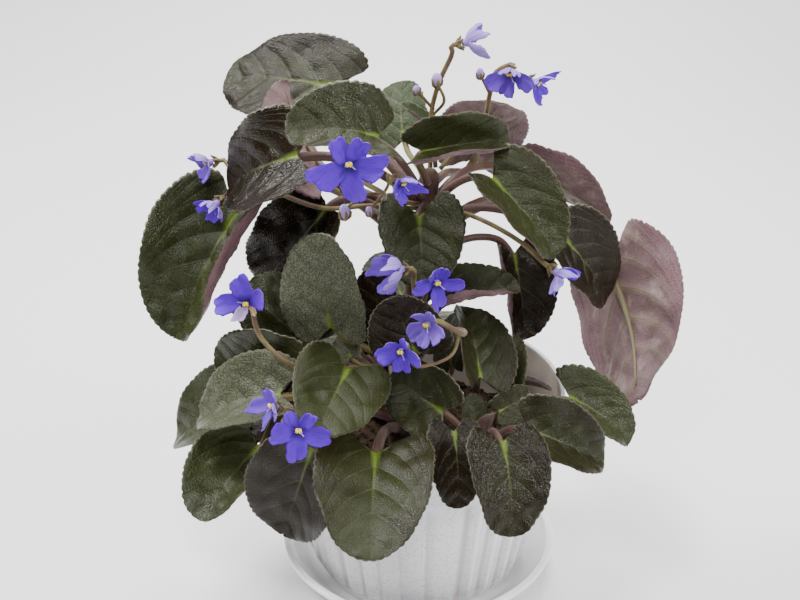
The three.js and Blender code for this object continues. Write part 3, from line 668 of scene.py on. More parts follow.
class Leaf:
    """One leaf: where its stalk leaves the stem, where its blade starts, its pose in degrees (heading
    round +Z from +X, tilt above the level, roll), its length and width, its arch, cup and fold, and
    its look: how bronze its face is, how mauve its underside is, and how glossy it is. A curled leaf
    rolls up one side (1 or -1) beyond a share of its half width, by an angle in degrees."""

    def __init__(self, name, height, base, pose, size, bend, look=(0.3, 0.5, 0.3), **more):
        self.name, self.height, self.base = name, height, np.array(base, float)
        self.heading, self.tilt, self.roll = (math.radians(value) for value in pose)
        self.length, self.width = size
        self.arch, self.cup, self.fold = (math.radians(value or 1) for value in bend)
        self.look = look
        self.lobe = more.get("lobe", 0.18) + 0.08
        self.rise = math.radians(more.get("rise", 35))
        self.turn = math.radians(more.get("turn", 0))
        self.via = more.get("via")
        self.curl = more.get("curl", (1, 1, 1))
        self.stalk_radius = max(1, 0.042 * self.length)
        self.seed = int(abs(self.base).sum() * 7) % 9973
        ch, sh, ct, st = (f(a) for a in (self.heading, self.tilt) for f in (math.cos, math.sin))
        self.along = np.array((ct * ch, ct * sh, st))
        level = np.array((-sh, ch, 0.0))
        over = np.cross(self.along, level)
        self.left = level * math.cos(self.roll) + over * math.sin(self.roll)
        self.up = over * math.cos(self.roll) - level * math.sin(self.roll)

    def surface(self, u, v):
        """The blade's middle layer: u from stalk to tip, v from the right edge (-1) to the left (1)."""
        half, bend = self.width / 2, self.length / self.arch
        slope = self.arch / 2 - self.arch * u
        side, share, roll_up = self.curl
        roll_radius = (1.03 - share + 0.001) * half / math.radians(roll_up)
        rolled = np.maximum(v * side - share, 0) * half / roll_radius
        level = np.where(v * side > share, side * share, v)
        first = self.cup * share
        across = half / self.cup * np.sin(self.cup * level)
        across = across + side * roll_radius * (np.sin(first + rolled) - math.sin(first))
        rim = half / self.cup * (1 - np.cos(self.cup * level))
        rim = rim + roll_radius * (math.cos(first) - np.cos(first + rolled))
        crease = np.sqrt(across**2 + 0.04 * half**2) - 0.2 * half
        lift = rim + crease * math.sin(self.fold)
        forward = bend * (math.sin(self.arch / 2) - np.sin(slope)) - np.sin(slope) * lift
        height = bend * (np.cos(slope) - math.cos(self.arch / 2)) + np.cos(slope) * lift
        sideways = across * math.cos(self.fold)
        return self.base + abreast(forward, sideways, height) @ np.array((self.along, self.left, self.up))

    def normal(self, u, v):
        step = 0.01
        forward = self.surface(u + step, v) - self.surface(u - step, v)
        across = self.surface(u, v + step) - self.surface(u, v - step)
        return unit(np.cross(forward, across))

    def margin(self):
        """The heart-shaped edge, at even steps that fit its scallops."""
        turn = np.linspace(0, math.pi, 400)
        notch = self.lobe * np.exp(-((turn / 0.27) ** 2))
        u = (1 - self.lobe) / 2 - (1 + self.lobe) / 2 * np.cos(turn) + notch
        v = np.sin(turn) ** 0.8 * (1 + 0.17 * np.cos(turn)) / 0.98
        way = walked(abreast(u * self.length, v * self.width / 2))
        scallops = max(6, round(way[-1] / scallop_pitch))
        even = np.linspace(0, way[-1], 4 * scallops + 1)
        phase = even / way[-1] * scallops * math.pi
        uneven = 0.75 + 0.35 * np.sin(2.3 * phase / math.pi + self.seed)
        uneven = uneven + 0.2 * np.sin(0.9 * phase + self.seed)
        swell = 1 + scallop_depth / (self.width / 2) * uneven * (np.abs(np.sin(phase)) - 0.7)
        return np.interp(even, way, u), np.interp(even, way, v), np.interp(even, way, turn), swell


def ripples(random, wavelength, x, y, count=7):
    """A smooth random relief between -1 and 1, from waves that run in several directions."""
    total = np.zeros_like(x)
    for _ in range(count):
        direction, phase = random.uniform(0, 2 * math.pi, 2)
        pitch = 2 * math.pi / (wavelength * random.uniform(0.8, 1.3))
        total += np.sin(pitch * (x * math.cos(direction) + y * math.sin(direction)) + phase)
    return total / count**0.5 / 1.5


def shell_faces(rows, span):
    """The faces of a closed shell: an upper and a lower grid that share their edge and both ends."""
    inner = span - 2
    upper = np.zeros((rows + 1, span), int)
    lower = np.zeros((rows + 1, span), int)
    tip = 1 + (rows - 1) * span
    upper[rows], lower[rows] = tip, tip
    upper[1:rows] = 1 + np.arange((rows - 1) * span).reshape(rows - 1, span)
    lower[1:rows, 1:-1] = tip + 1 + np.arange((rows - 1) * inner).reshape(rows - 1, inner)
    lower[1:rows, 0], lower[1:rows, -1] = upper[1:rows, 0], upper[1:rows, -1]
    faces = []
    for grid, turn in ((upper, 1), (lower, -1)):
        for i in range(rows):
            for j in range(span - 1):
                corners = [grid[i, j], grid[i + 1, j], grid[i + 1, j + 1], grid[i, j + 1]]
                face = [int(c) for k, c in enumerate(corners) if c != corners[k - 1]]
                faces.append(tuple(face[::turn]))
    return faces


def shell_points(upper, lower, rows):
    """The points in shell_faces' order, from the two full grids."""
    width = upper.shape[-1]
    top, bottom = upper[1:rows].reshape(-1, width), lower[1:rows, 1:-1].reshape(-1, width)
    return np.vstack([upper[0, :1], top, upper[rows, :1], bottom])


def vein_phase(u, v):
    """Whole numbers lie on the side veins, which leave the midrib and arch along the edge."""
    return 4.4 * (u - 0.32 * np.abs(v) - 0.3 * np.abs(v) ** 3 - 0.5 * np.abs(v) ** 6) + 0.35


def add_blade(body, leaf):
    """The blade: u runs from stalk to tip and v from edge to edge, with relief on both sides."""
    random = np.random.default_rng(leaf.seed)
    edge_u, edge_v, turn, swell = leaf.margin()
    rows = len(edge_u) - 1
    columns = int(np.clip(round(leaf.width / 2 / 1.15), 6, 26))
    out = np.linspace(-1, 1, 2 * columns + 1)
    along = (1 - np.cos(turn)) / 2
    near_edge = np.abs(out) ** 5
    grow = 1 + (swell[:, None] - 1) * near_edge
    u = along[:, None] + (edge_u - along)[:, None] * np.abs(out)
    u = 0.45 + (u - 0.45) * grow
    v = edge_v[:, None] * out * grow
    x, y = u * leaf.length, v * leaf.width / 2
    phase = vein_phase(u, v)
    off_vein = np.abs(phase - np.round(phase))
    fade = 1 - np.abs(out) ** 3
    strength = leaf.length / 45
    groove = np.exp(-((y / 0.9) ** 2)) * np.clip(1.15 - u, 0, 1)
    side_vein = np.exp(-((off_vein / 0.1) ** 2)) * fade * np.clip(1.2 - u, 0, 1)
    quilt = np.sin(math.pi * np.clip(off_vein * 2, 0, 1) / 2) ** 2 * fade
    pebbles = ripples(random, 3.4, x, y) + 0.6 * ripples(random, 1.9, x, y, 9)
    waves = ripples(random, leaf.length / 2.2, x, y, 3) * np.abs(out) ** 1.5
    swells = ripples(random, leaf.length / 4.5, x, y, 5) * fade * (1 - np.exp(-((y / 4) ** 2)))
    ruffle = np.sin(turn * 9 + random.uniform(0, 6))[:, None] * np.abs(out) ** 4
    shared = strength * (1.1 * waves + 0.45 * ruffle + 0.6 * swells)
    relief = quilt_height * quilt - groove_depth * groove - vein_depth * side_vein
    top = shared + strength * relief + 0.06 * pebbles * fade
    under = shared + strength * (0.36 * quilt - vein_height * side_vein) + 0.06 * pebbles * fade
    half = blade_thickness / 2 * (0.35 + 0.65 * (1 - np.abs(out) ** 8))
    centre, normal = leaf.surface(u, v), leaf.normal(u, v)
    upper = centre + (half + top)[..., None] * normal
    lower = centre - (half - under)[..., None] * normal
    edge = np.abs(out) == 1
    upper[:, edge] = centre[:, edge] + shared[:, edge][..., None] * normal[:, edge]
    lower[:, edge] = upper[:, edge]
    upper[0] = lower[0] = centre[0] - 0.3 * normal[0]
    upper[-1] = lower[-1] = centre[-1] + shared[-1].mean() * normal[-1]
    side = np.ones_like(u)
    side[:, edge] = 0
    body.add(
        (shell_points(upper, lower, rows), shell_faces(rows, len(out))),
        place=shell_points(abreast(u, v, side), abreast(u, v, -side), rows),
        flat=shell_points(abreast(x, y, leaf.seed % 97), abreast(x, y + 90, leaf.seed % 97), rows),
        look=leaf.look,
        vein=shell_points(phase[..., None], phase[..., None], rows),
    )


def level_ray(turn):
    """A level direction, turned from +X round +Z."""
    return np.array((math.cos(turn), math.sin(turn), 0))


def stem_at(stem, height):
    path, radius = stem
    row = int(np.argmin(np.abs(path[:, 2] - height)))
    return path[row], float(radius(row / (len(path) - 1)))


def add_leafstalk(body, leaf, stem, joined):
    """The stalk starts at the stem, arches to the blade, and runs on under it as the midrib."""
    radius = leaf.stalk_radius
    middle, stem_radius = stem_at(stem, leaf.height)
    x, y, _ = leaf.base - middle
    level = level_ray(math.atan2(y, x) + leaf.turn)
    out = level * math.cos(leaf.rise) + np.array((0, 0, math.sin(leaf.rise)))
    start = middle + level * (0.6 * stem_radius if joined else stem_radius - 0.6)
    reach = np.linalg.norm(leaf.base - start)
    shares = np.array((0.03, 0.16, 0.35, 0.6, 0.9))
    rib = radius * np.array((1, 0.5, 0.36, 0.24, 0.12))
    flat = np.zeros_like(shares)
    sunk = leaf.surface(shares, flat) - (0.8 * rib + 0.5)[:, None] * leaf.normal(shares, flat)
    arrival = unit(sunk[1] - sunk[0])
    if leaf.via:
        free = [start, *leaf.via]
    else:
        handles = [start, start + 0.4 * reach * out, sunk[0] - 0.3 * reach * arrival, sunk[0]]
        t = np.array((0, 0.25, 0.5, 0.75))[:, None]
        a, b, c, d = handles
        free = list((1 - t) ** 3 * a + 3 * t * (1 - t) ** 2 * b + 3 * t * t * (1 - t) * c + t**3 * d)
    path = smooth_path([*free, *sunk], 34)
    way = walked(path)
    free_part = max(way[-1] - 0.87 * leaf.length, 1)
    rib_part = way[-1] - free_part
    steps = [share * free_part for share in (0, 0.08, 0.3, 1)]
    steps += [free_part + share * rib_part for share in (0.15, 0.5, 1)]
    radii = radius * np.interp(way, steps, (1.25, 1.08, 0.95, 1, 0.5, 0.28, 0.1))
    shell = tube(path, radii, 12)
    far, round_it = shell[2][:, 0] * way[-1], shell[2][:, 1]
    stalk_share, rib_share = np.clip(far / free_part, 0, 1), np.clip((far - free_part) / rib_part, 0, 1)
    body.add(
        shell,
        1,
        place=abreast(stalk_share, round_it, 1 + rib_share),
        flat=abreast(far, round_it * radius, leaf.seed % 97),
        look=leaf.look,
    )


def hair_tree(material):
    """Soft hairs: thin spikes that stand on the skin, thick along the edge and sparse elsewhere."""
    recipe, size = growth("hairs", ["Length", "Radius", "Edge", "Skin", "Seed"])
    inputs = {"Vertices": 3, "Radius Top": 0.0, "Radius Bottom": size["Radius"], "Depth": size["Length"]}
    spike = recipe.node("GeometryNodeMeshCone", {"fill_type": "NONE"}, inputs)
    settings = {"data_type": "FLOAT_VECTOR"}
    _, _, side = recipe.split(recipe.node("GeometryNodeInputNamedAttribute", settings, {"Name": "place"}))
    edge = abs(side).rise(0.75, 0.3)
    density = edge * (size["Edge"] - size["Skin"]) + size["Skin"]
    inputs = {"Mesh": size["Geometry"], "Density": density, "Seed": size["Seed"]}
    points = recipe.node("GeometryNodeDistributePointsOnFaces", None, inputs)
    upright = Wire(recipe, points.socket.node.outputs["Rotation"])
    lean = chance(recipe, (-0.7, -0.7, 0.0), (0.7, 0.7, 6.3), size["Seed"])
    leaning = recipe.node("FunctionNodeRotateRotation", {"rotation_space": "LOCAL"}, [upright, lean])
    stretch = chance(recipe, 0.5, 1.2, size["Seed"])
    scatter(recipe, size["Geometry"], points, spike, leaning, stretch, material)
    return recipe


skin = Finish(
    "leaf_skin",
    {"IOR": 1.45, "Sheen Weight": 0.01, "Sheen Roughness": 0.4, "Specular IOR Level": 0.26},
)
flat = skin.trait("flat")
phase = skin.trait("vein", "Fac")
along, across, side = skin.split(skin.trait("place"))
bronze, mauve, gloss = skin.split(skin.trait("look"))
under = side.rise(0.2, -0.2)
rim = abs(side).rise(0.55, 0.05)
middle = abs(across)
soft_cells = {"Vector": flat, "Scale": 1.6, "Smoothness": 0.3}
pebble = skin.node("ShaderNodeTexVoronoi", {"feature": "SMOOTH_F1"}, soft_cells)
speckle = skin.cells(flat, 2.6)
drift = skin.noise(flat, 0.09, 3)
bloom = skin.noise(flat, 0.14, 2)
fleck = skin.noise(flat, 1.3, 4, 0.6)
off_vein = abs(phase - phase.maths("ROUND", phase))
vein = off_vein.rise(0.055, 0.01) * (1 - middle * 0.75) * along.rise(1.05, 0.3)
midrib = middle.rise(0.035, 0.008) * along.rise(0.8, 0.2)
wedge = (middle + along * 0.3).rise(0.14, 0.03) * along.rise(0.36, 0.08)
crease = off_vein.rise(0.17, 0.07) * (1 - vein) * (1 - middle * 0.75)
shade = (bronze + (drift - 0.5) * 0.9 + (middle - 0.5) * 0.25).rise(0.1, 0.9)
face = skin.mix(shade, (0.031, 0.037, 0.009), (0.009, 0.003, 0.0004))
face = skin.mix(fleck.rise(0.45, 0.75) * 0.3 * (1 - shade * 0.85), face, (0.075, 0.08, 0.03))
face = skin.mix(bronze.rise(0.15, -0.3) * 0.85, face, (0.175, 0.185, 0.12))
face = skin.mix(bronze.rise(-0.4, -0.6) * (1 - fleck * 0.2), face, (0.022, 0.045, 0.005))
# Painted shade: the pits between the pebbles and the creases beside the side veins are painted darker.
face = skin.mix(pebble.rise(0.32, 0.52) * 0.62 * (1 - shade * 0.6), face, (0.012, 0.014, 0.004))
face = skin.mix(crease * 0.32, face, (0.012, 0.012, 0.004))
face = skin.mix(vein * 0.28, face, (0.11, 0.125, 0.06))
face = skin.mix(midrib * 0.5, face, (0.11, 0.135, 0.045))
face = skin.mix(wedge * 0.8, face, (0.12, 0.18, 0.02))
face = skin.mix(rim * 0.5, face, (0.2, 0.2, 0.12))
dusk = skin.mix(mauve, (0.09, 0.04, 0.045), (0.18, 0.11, 0.115))
dusk = skin.mix(drift.rise(0.42, 0.62) * 0.6, dusk, (0.115, 0.062, 0.06))
dusk = skin.mix(bloom.rise(0.5, 0.72) * 0.55 * mauve, dusk, (0.34, 0.27, 0.26))
dusk = skin.mix(middle.rise(0.5, 0.95) * 0.7, dusk, (0.14, 0.055, 0.085))
dusk = skin.mix(off_vein.rise(0.22, 0.05) * 0.35, dusk, (0.2, 0.17, 0.12))
dusk = skin.mix(fleck.rise(0.4, 0.7) * 0.35, dusk, (0.32, 0.25, 0.23))
dusk = skin.mix(vein * 0.8, dusk, (0.13, 0.125, 0.05))
dusk = skin.mix(midrib, dusk, (0.17, 0.14, 0.07))
grain = pebble * (-0.75) + speckle * 0.1 + vein * (-0.7) + crease * (-0.4) + fleck * 0.22
skin.wear(
    skin.mix(under, face, dusk),
    0.4 - gloss * 0.27 + fleck * 0.1 + under * 0.22,
    skin.bump(grain, 0.36, 0.75),
)

stalk_skin = Finish("leafstalk", {"IOR": 1.42, "Sheen Weight": 0.12, "Sheen Roughness": 0.4})
flat = stalk_skin.trait("flat")
way, _, rib = stalk_skin.split(stalk_skin.trait("place"))
ripe, _, _ = stalk_skin.split(stalk_skin.trait("look"))
tone = (ripe * 0.6 + stalk_skin.noise(flat, 0.12, 2) - way * 0.25).rise(0.1, 0.7)
stalk_colour = stalk_skin.mix(tone, (0.12, 0.1, 0.02), (0.062, 0.023, 0.019))
stalk_colour = stalk_skin.mix(rib.rise(1, 1.2), stalk_colour, (0.17, 0.14, 0.07))
stalk_grain = stalk_skin.noise(flat, 1.4, 3)
stalk_skin.wear(
    stalk_skin.mix(stalk_grain.rise(0.4, 0.7) * 0.2, stalk_colour, (0.16, 0.12, 0.07)),
    0.42 + stalk_grain * 0.2,
    stalk_skin.bump(stalk_grain, 0.3, 0.6),
)

hair_finish = Finish("plant_hair", {"Specular IOR Level": 0.4})
tint = hair_finish.noise(hair_finish.place(), 400)
hair_finish.wear(hair_finish.mix(tint, (0.22, 0.22, 0.14), (0.42, 0.4, 0.3)), 0.45 + tint * 0.2)

dark, olive, grey, fresh = (1.2, 0.5, 0.9), (0.35, 0.6, 0.5), (-0.1, 0.5, 0.2), (-0.6, 0.4, 0.25)
upper_leaves = [
    Leaf(
        "01", 194, (0, -12, 211), (19, 0, 52), (38, 33), (30, 15, 53), (0.25, 0.9, 0.3),
        rise=60, curl=(-1, 0.3, 115),
    ),
    Leaf("02", 188, (-17, -24, 222), (-158, 11, -33), (39, 37), (50, 18, 26), olive, rise=60),
    Leaf("03", 191, (-7, 30, 198), (93, 35, -19), (30, 26), (26, 16, 12), (-0.7, 0.4, 0.1)),
    Leaf("04", 190, (24, 47, 182), (-72, 54, -21), (45, 39), (26, 15, 6), (0.3, 1.0, 0.3), rise=10),
    Leaf("05", 184, (-1, -15, 184), (-84, -58, -4), (29, 36), (20, 20, 14), olive, lobe=0.34, rise=20),
    Leaf("06", 184, (28, -18, 202), (-25, -44, 19), (40, 37), (19, 21, 26), (0.35, 0.5, 0.5), rise=55),
    Leaf("07", 184, (-49, -11, 209), (142, -33, -58), (48, 42), (38, 22, 14), dark, rise=50),
    Leaf(
        "08", 185, (-36, 56, 212), (155, -5, -39), (57, 47), (29, 12, -2), (0.7, 0.6, 0.4),
        via=[(-14, 14, 196), (-27, 37, 208)],
    ),
    Leaf("09", 183, (48, 46, 177), (-26, -23, -59), (43, 37), (25, 15, 8), (0.5, 0.8, 0.3)),
    Leaf("10", 176, (-40, 9, 191), (131, 52, -152), (44, 39), (29, 18, 15), (0.6, 0.8, 0.3)),
    Leaf("11", 176, (59, -6, 170), (21, -55, 60), (40, 36), (19, 17, 21), (1.1, 0.5, 0.5)),
    Leaf("12", 170, (-40, 24, 169), (156, -53, -82), (55, 47), (-5, 24, 45), dark),
    Leaf(
        "13", 164, (-79, 21, 168), (-138, -53, -13), (60, 59), (21, 21, 34), (0.12, 0.5, 0.7),
        via=[(-34, 34, 172), (-60, 42, 178), (-74, 31, 179)], curl=(1, 0.55, 105),
    ),
    Leaf("14", 168, (87, 37, 133), (-86, -25, -120), (71, 65), (37, 7, 1), (0.4, 1.0, 0.3), rise=45),
    Leaf(
        "15", 156, (41, 20, 149), (-51, -76, 9), (40, 34), (14, 14, 27), (1.0, 0.8, 0.8),
        curl=(-1, 0.5, 110),
    ),
]
lower_leaves = [
    Leaf("01", 108, (-7, 18, 127), (106, 12, -11), (34, 30), (25, 13, 6), olive, rise=55),
    Leaf("02", 94, (-14, -10, 122), (128, 74, -64), (33, 29), (23, 17, 7), dark, rise=50, turn=-75),
    Leaf("03", 119, (-2, -45, 138), (-135, 68, -136), (33, 34), (32, 20, -13), dark, rise=30),
    Leaf(
        "04", 112, (9, -5, 139), (6, 8, 11), (34, 29), (19, 7, 33), (0.2, 0.9, 0.5),
        rise=50, curl=(-1, 0.5, 110),
    ),
    Leaf(
        "05", 109, (-37, -20, 135), (120, 75, -49), (41, 37), (24, 15, 8), (-0.32, 0.5, 0.2),
        rise=50, turn=30,
    ),
    Leaf("06", 98, (-48, -15, 124), (131, 10, -23), (47, 41), (1, 17, 34), (0.35, 0.5, 0.6)),
    Leaf("07", 96, (-30, -40, 127), (-105, -6, -22), (43, 39), (5, 8, 12), (0.3, 0.5, 0.35)),
    Leaf("08", 92, (-54, -33, 123.5), (150, -10, -68), (39, 32), (16, 18, 19), olive, rise=50),
    Leaf("09", 84, (-57, -45, 118), (160, -27, -31), (43, 37), (33, 16, 23), grey),
    Leaf(
        "10", 78, (-74, 0, 83), (164, -31, -29), (45, 43), (34, 23, 22), (0.06, 0.6, 0.5),
        via=[(-38, -2, 97), (-62, -1, 98.5)],
    ),
    Leaf(
        "11", 76, (-68, -32, 83), (-117, -10, 4), (47, 42), (28, 17, 19), (0.12, 0.5, 0.6),
        lobe=0.12, via=[(-32, -14, 95), (-57, -26, 99)],
    ),
    Leaf(
        "12", 81, (-43, -71, 110), (173, -73, -75), (46, 43), (1, 23, 23), (1.2, 0.5, 0.4),
        rise=40, lobe=0.05,
    ),
    Leaf("13", 76, (-18, -74, 109), (-92, -15, -1), (52, 47), (22, 13, 13), (0.48, 0.5, 0.5), rise=40),
]
shoot_leaves = [
    Leaf(
        "01", 88, (25, -26, 114), (101, 28, 24), (36, 32), (22, 19, 30), (0.5, 0.5, 0.4),
        via=[(24, -22, 100)],
    ),
    Leaf("02", 86, (9, -49, 112), (129, 1, -49), (34, 29), (21, 15, 11), (0.4, 0.5, 0.8), rise=25),
    Leaf(
        "03", 79, (13, -60, 110), (-85, -56, -22), (31, 26), (23, 16, -6), (1.1, 0.6, 0.5),
        via=[(21, -46, 90), (15, -58, 104)],
    ),
    Leaf(
        "04", 74, (32, -70, 112), (-81, -56, -15), (38, 35), (34, 19, 2), (0.75, 0.5, 0.7),
        rise=30, turn=-10,
    ),
    Leaf("05", 86, (43, -54, 107), (9, -31, 40), (39, 33), (19, 21, 31), (0.6, 0.5, 0.5)),
    Leaf("06", 79, (63, -26, 104.5), (-15, -33, 22), (33, 29), (38, 20, 24), (0.05, 0.5, 0.6), lobe=0.3),
]
main_young = [
    Leaf("01", 92, (14, -6, 108), (88, 34, -41), (25, 17), (24, 13, 7), olive),
    Leaf("02", 195, (4, 8, 211), (-172, 46, -13), (18, 11), (25, 13, 29), fresh, rise=70),
    Leaf("03", 92, (6, 34, 101), (84, -16, 6), (42, 38), (26, 14, 10), olive, rise=40),
    Leaf("04", 86, (-30, 30, 100), (128, -20, -6), (42, 37), (26, 14, 10), olive, rise=40),
    Leaf("05", 80, (-50, -17, 89), (-165, -18, 0), (27, 24), (24, 13, 7), dark, rise=10),
]
shoot_young = [
    Leaf("01", 92, (33, -32, 101), (40, 4, 54), (19, 16), (23, 18, 16), (0.4, 0.5, 0.4)),
    Leaf("02", 93, (23, -34, 95), (100, 55, 10), (14, 13), (20, 20, 14), (0.2, 0.5, 0.5), rise=60),
    Leaf("03", 89, (28, -36, 92), (-60, 78, 0), (12, 11), (10, 40, 20), (0.2, 0.5, 0.5), rise=30),
    Leaf("04", 86, (40, -14, 105), (83, 33, -9), (21, 13), (24, 14, 9), olive, rise=50),
    Leaf("05", 80, (43, -8, 101), (-11, -11, -26), (15, 13), (24, 12, 16), (0.9, 0.8, 0.4), rise=40),
]
small_beside = Leaf(
    "05b", 109, (-29, -21, 121), (107, 16, -25), (15, 12), (23, 17, 16), grey, rise=45, turn=25
)

hairs = hair_tree(hair_finish.material)
leaf_groups = [
    ("leaf_upper_", upper_leaves, main_stem, None, "leaf_bronze"),
    ("leaf_lower_", lower_leaves, main_stem, None, "leaf_green"),
    ("leaf_shoot_", shoot_leaves, side_shoot, None, "leaf_green"),
    ("young_crown_", main_young, main_stem, "main_stem", "young_leaf"),
    ("young_shoot_", shoot_young, side_shoot, "side_shoot", "young_leaf"),
]
for prefix, leaves, stem, shared_node, slot in leaf_groups:
    for leaf in leaves:
        body = Body()
        together = [leaf, small_beside] if prefix + leaf.name == "leaf_lower_05" else [leaf]
        for one in together:
            add_blade(body, one)
            add_leafstalk(body, one, stem, shared_node is not None)
        name = prefix + leaf.name + "_grown"
        plain = body.mesh(name, skin, stalk_skin)
        furred = grown(plain, hairs, {**hair, "Seed": leaf.seed})
        piece(name, furred, [shared_node or prefix + leaf.name], slot)

# ---- The flowers ----
# Each is one soft violet bell of five petals, two small ones above and three large ones below, with
# a short tube behind and two yellow anthers and a thin style in its throat. No two petals are alike.
flower_back = -2.4
petal_thickness = 0.56
petal_rows, petal_columns = 16, 8


class Flower:
    """One flower: its middle, the heading and tilt that it faces, its turn about that line, its size,
    how far its petals lean forward, how pale it is, and how far each petal has faded beyond that."""

    def __init__(self, name, middle, heading, tilt, turn, size, open_by, pale=0.0, faded=(0, 0, 0, 0, 0)):
        self.name, self.middle, self.size, self.open_by = name, np.array(middle, float), size, open_by
        self.pale, self.faded = pale, faded
        h, t, turn = math.radians(heading), math.radians(tilt), math.radians(turn)
        self.face = np.array((math.cos(t) * math.cos(h), math.cos(t) * math.sin(h), math.sin(t)))
        right = np.array((-math.sin(h), math.cos(h), 0.0))
        top = np.cross(self.face, right)
        self.right = right * math.cos(turn) + top * math.sin(turn)
        self.top = top * math.cos(turn) - right * math.sin(turn)
        self.seed = int(abs(self.middle).sum() * 3) % 997

    def at(self, local):
        """Points given in the flower's own axes."""
        return self.middle + np.asarray(local, float) @ np.array((self.right, self.top, self.face))

    def holding(self, shell):
        """A shell given in the flower's own axes."""
        return self.at(shell[0]), shell[1]


def add_petal(body, flower, angle, length, width, lift, back, faded, random):
    """One petal at an angle round the throat: lift bends it forward, back sets its foot behind."""
    turn = np.linspace(0, math.pi, petal_rows + 1)
    ragged = 1 + 0.06 * np.sin(5 * turn + random.uniform(0, 6))
    ragged = ragged + 0.05 * np.sin(11 * turn + random.uniform(0, 6))
    edge_v = np.sin(turn) ** random.uniform(0.6, 0.95) * (1 - random.uniform(0.25, 0.5) * np.cos(turn)) / 1.05
    edge_v = edge_v * ragged
    along = (1 - np.cos(turn)) / 2
    out = np.linspace(-1, 1, 2 * petal_columns + 1)
    v = edge_v[:, None] * out
    slope = random.uniform(-0.16, 0.16)
    u = along[:, None] * (1 + slope * v - random.uniform(0.02, 0.12) * np.exp(-((v / 0.3) ** 2)))
    climb = math.radians(lift)
    curl = random.uniform(-0.1, 0.25)
    twist, sway = random.uniform(-0.8, 0.8), random.uniform(-0.28, 0.28)
    u_bent = u + curl * 0.1 * u * v**2
    crimp = 0.35 * np.sin(out[None] * random.uniform(4, 7) + random.uniform(0, 6)) * u**2
    crimp = crimp + 0.25 * np.sin(6 * turn + random.uniform(0, 6))[:, None] * np.abs(out) ** 3
    cup = 0.2 * width * v**2 + curl * 1.5 * u**3 * np.abs(v) ** 0.5
    forward = length * u_bent * np.cos(climb * u)
    sideways = width / 2 * v * np.cos(twist * u)
    height = length * u * np.sin(climb * u) + cup + crimp - back * (1 - u)
    height = height + width / 2 * v * np.sin(twist * u)
    slant = math.radians(angle) + sway * u
    x = forward * np.cos(slant) - sideways * np.sin(slant)
    y = forward * np.sin(slant) + sideways * np.cos(slant)
    centre = abreast(x, y, height)
    du, dv = np.gradient(centre, axis=0), np.gradient(centre, axis=1)
    normal = unit(np.cross(du, dv))
    normal[0], normal[-1] = normal[1], normal[-2]
    half = petal_thickness / 2 * (1 - 0.7 * np.abs(out) ** 6)[None, :, None]
    upper, lower = centre + half * normal, centre - half * normal
    edge = np.abs(out) == 1
    upper[:, edge] = lower[:, edge] = centre[:, edge]
    for end in (0, -1):
        upper[end] = lower[end] = centre[end, petal_columns]
    flat = abreast(u * length, v * width / 2, random.uniform(0, 90))
    body.add(
        flower.holding((shell_points(upper, lower, petal_rows), shell_faces(petal_rows, len(out)))),
        place=shell_points(abreast(u, v, 1), abreast(u, v, -1), petal_rows),
        flat=shell_points(flat, flat, petal_rows),
        look=(flower.pale + faded, 0, 0),
    )


def lump(centre, axis, length, radius, rings=8, sides=12, swell=1.0):
    """A rounded body along an axis, as an anther or a bud."""
    way = np.linspace(-1, 1, rings)
    path = np.asarray(centre) + np.outer(way * length / 2, unit(np.asarray(axis, float)))
    radii = radius * np.sqrt(np.clip(1 - (way * 0.98) ** 2, 0.01, 1)) * (1 + 0.15 * swell * way)
    return tube(path, radii, sides)


petal_sheen = {"Sheen Weight": 0.05, "Sheen Roughness": 0.35, "Sheen Tint": (0.8, 0.7, 1)}
petal_skin = Finish("petal", {"IOR": 1.4, "Specular IOR Level": 0.25, **petal_sheen})
flat = petal_skin.trait("flat")
along, _, side = petal_skin.split(petal_skin.trait("place"))
aged, _, _ = petal_skin.split(petal_skin.trait("look"))
stretched = petal_skin.node("ShaderNodeVectorMath", {"operation": "MULTIPLY"}, [flat, (0.25, 1.6, 1)])
streak = petal_skin.noise(stretched, 1.1, 3)
sparkle = petal_skin.cells(flat, 4.5)
# Painted shade: each petal is painted much darker towards its foot, as shade in the throat of the bell.
violet = petal_skin.mix(along.rise(0.06, 0.36), (0.014, 0.002, 0.1), (0.088, 0.01, 0.45))
violet = petal_skin.mix(along.rise(0.5, 1.0) * 0.45, violet, (0.13, 0.025, 0.6))
violet = petal_skin.mix(streak.rise(0.45, 0.7) * 0.6, violet, (0.045, 0.006, 0.3))
pale = petal_skin.mix(streak.rise(0.35, 0.7), (0.4, 0.3, 0.66), (0.22, 0.12, 0.55))
violet = petal_skin.mix(side.rise(0.3, -0.3) * 0.75, violet, pale)
faint = petal_skin.mix(aged.maths("MINIMUM", aged, 1.0), violet, (0.45, 0.34, 0.5))
withered = petal_skin.mix(streak.rise(0.45, 0.6), (0.44, 0.34, 0.17), (0.12, 0.07, 0.04))
petal_skin.wear(
    petal_skin.mix(aged.rise(1, 1.8), faint, withered),
    0.5 + sparkle * 0.2,
    petal_skin.bump(streak + sparkle * 0.3, 0.25, 0.6),
)

anther_finish = Finish("anther", {"IOR": 1.4})
grain = anther_finish.noise(anther_finish.place(), 1500)
anther_finish.wear(
    anther_finish.mix(grain.rise(0.3, 0.7), (0.85, 0.6, 0.0), (0.95, 0.76, 0.01)),
    0.5 + grain * 0.2,
    anther_finish.bump(grain, 0.2, 0.5),
)

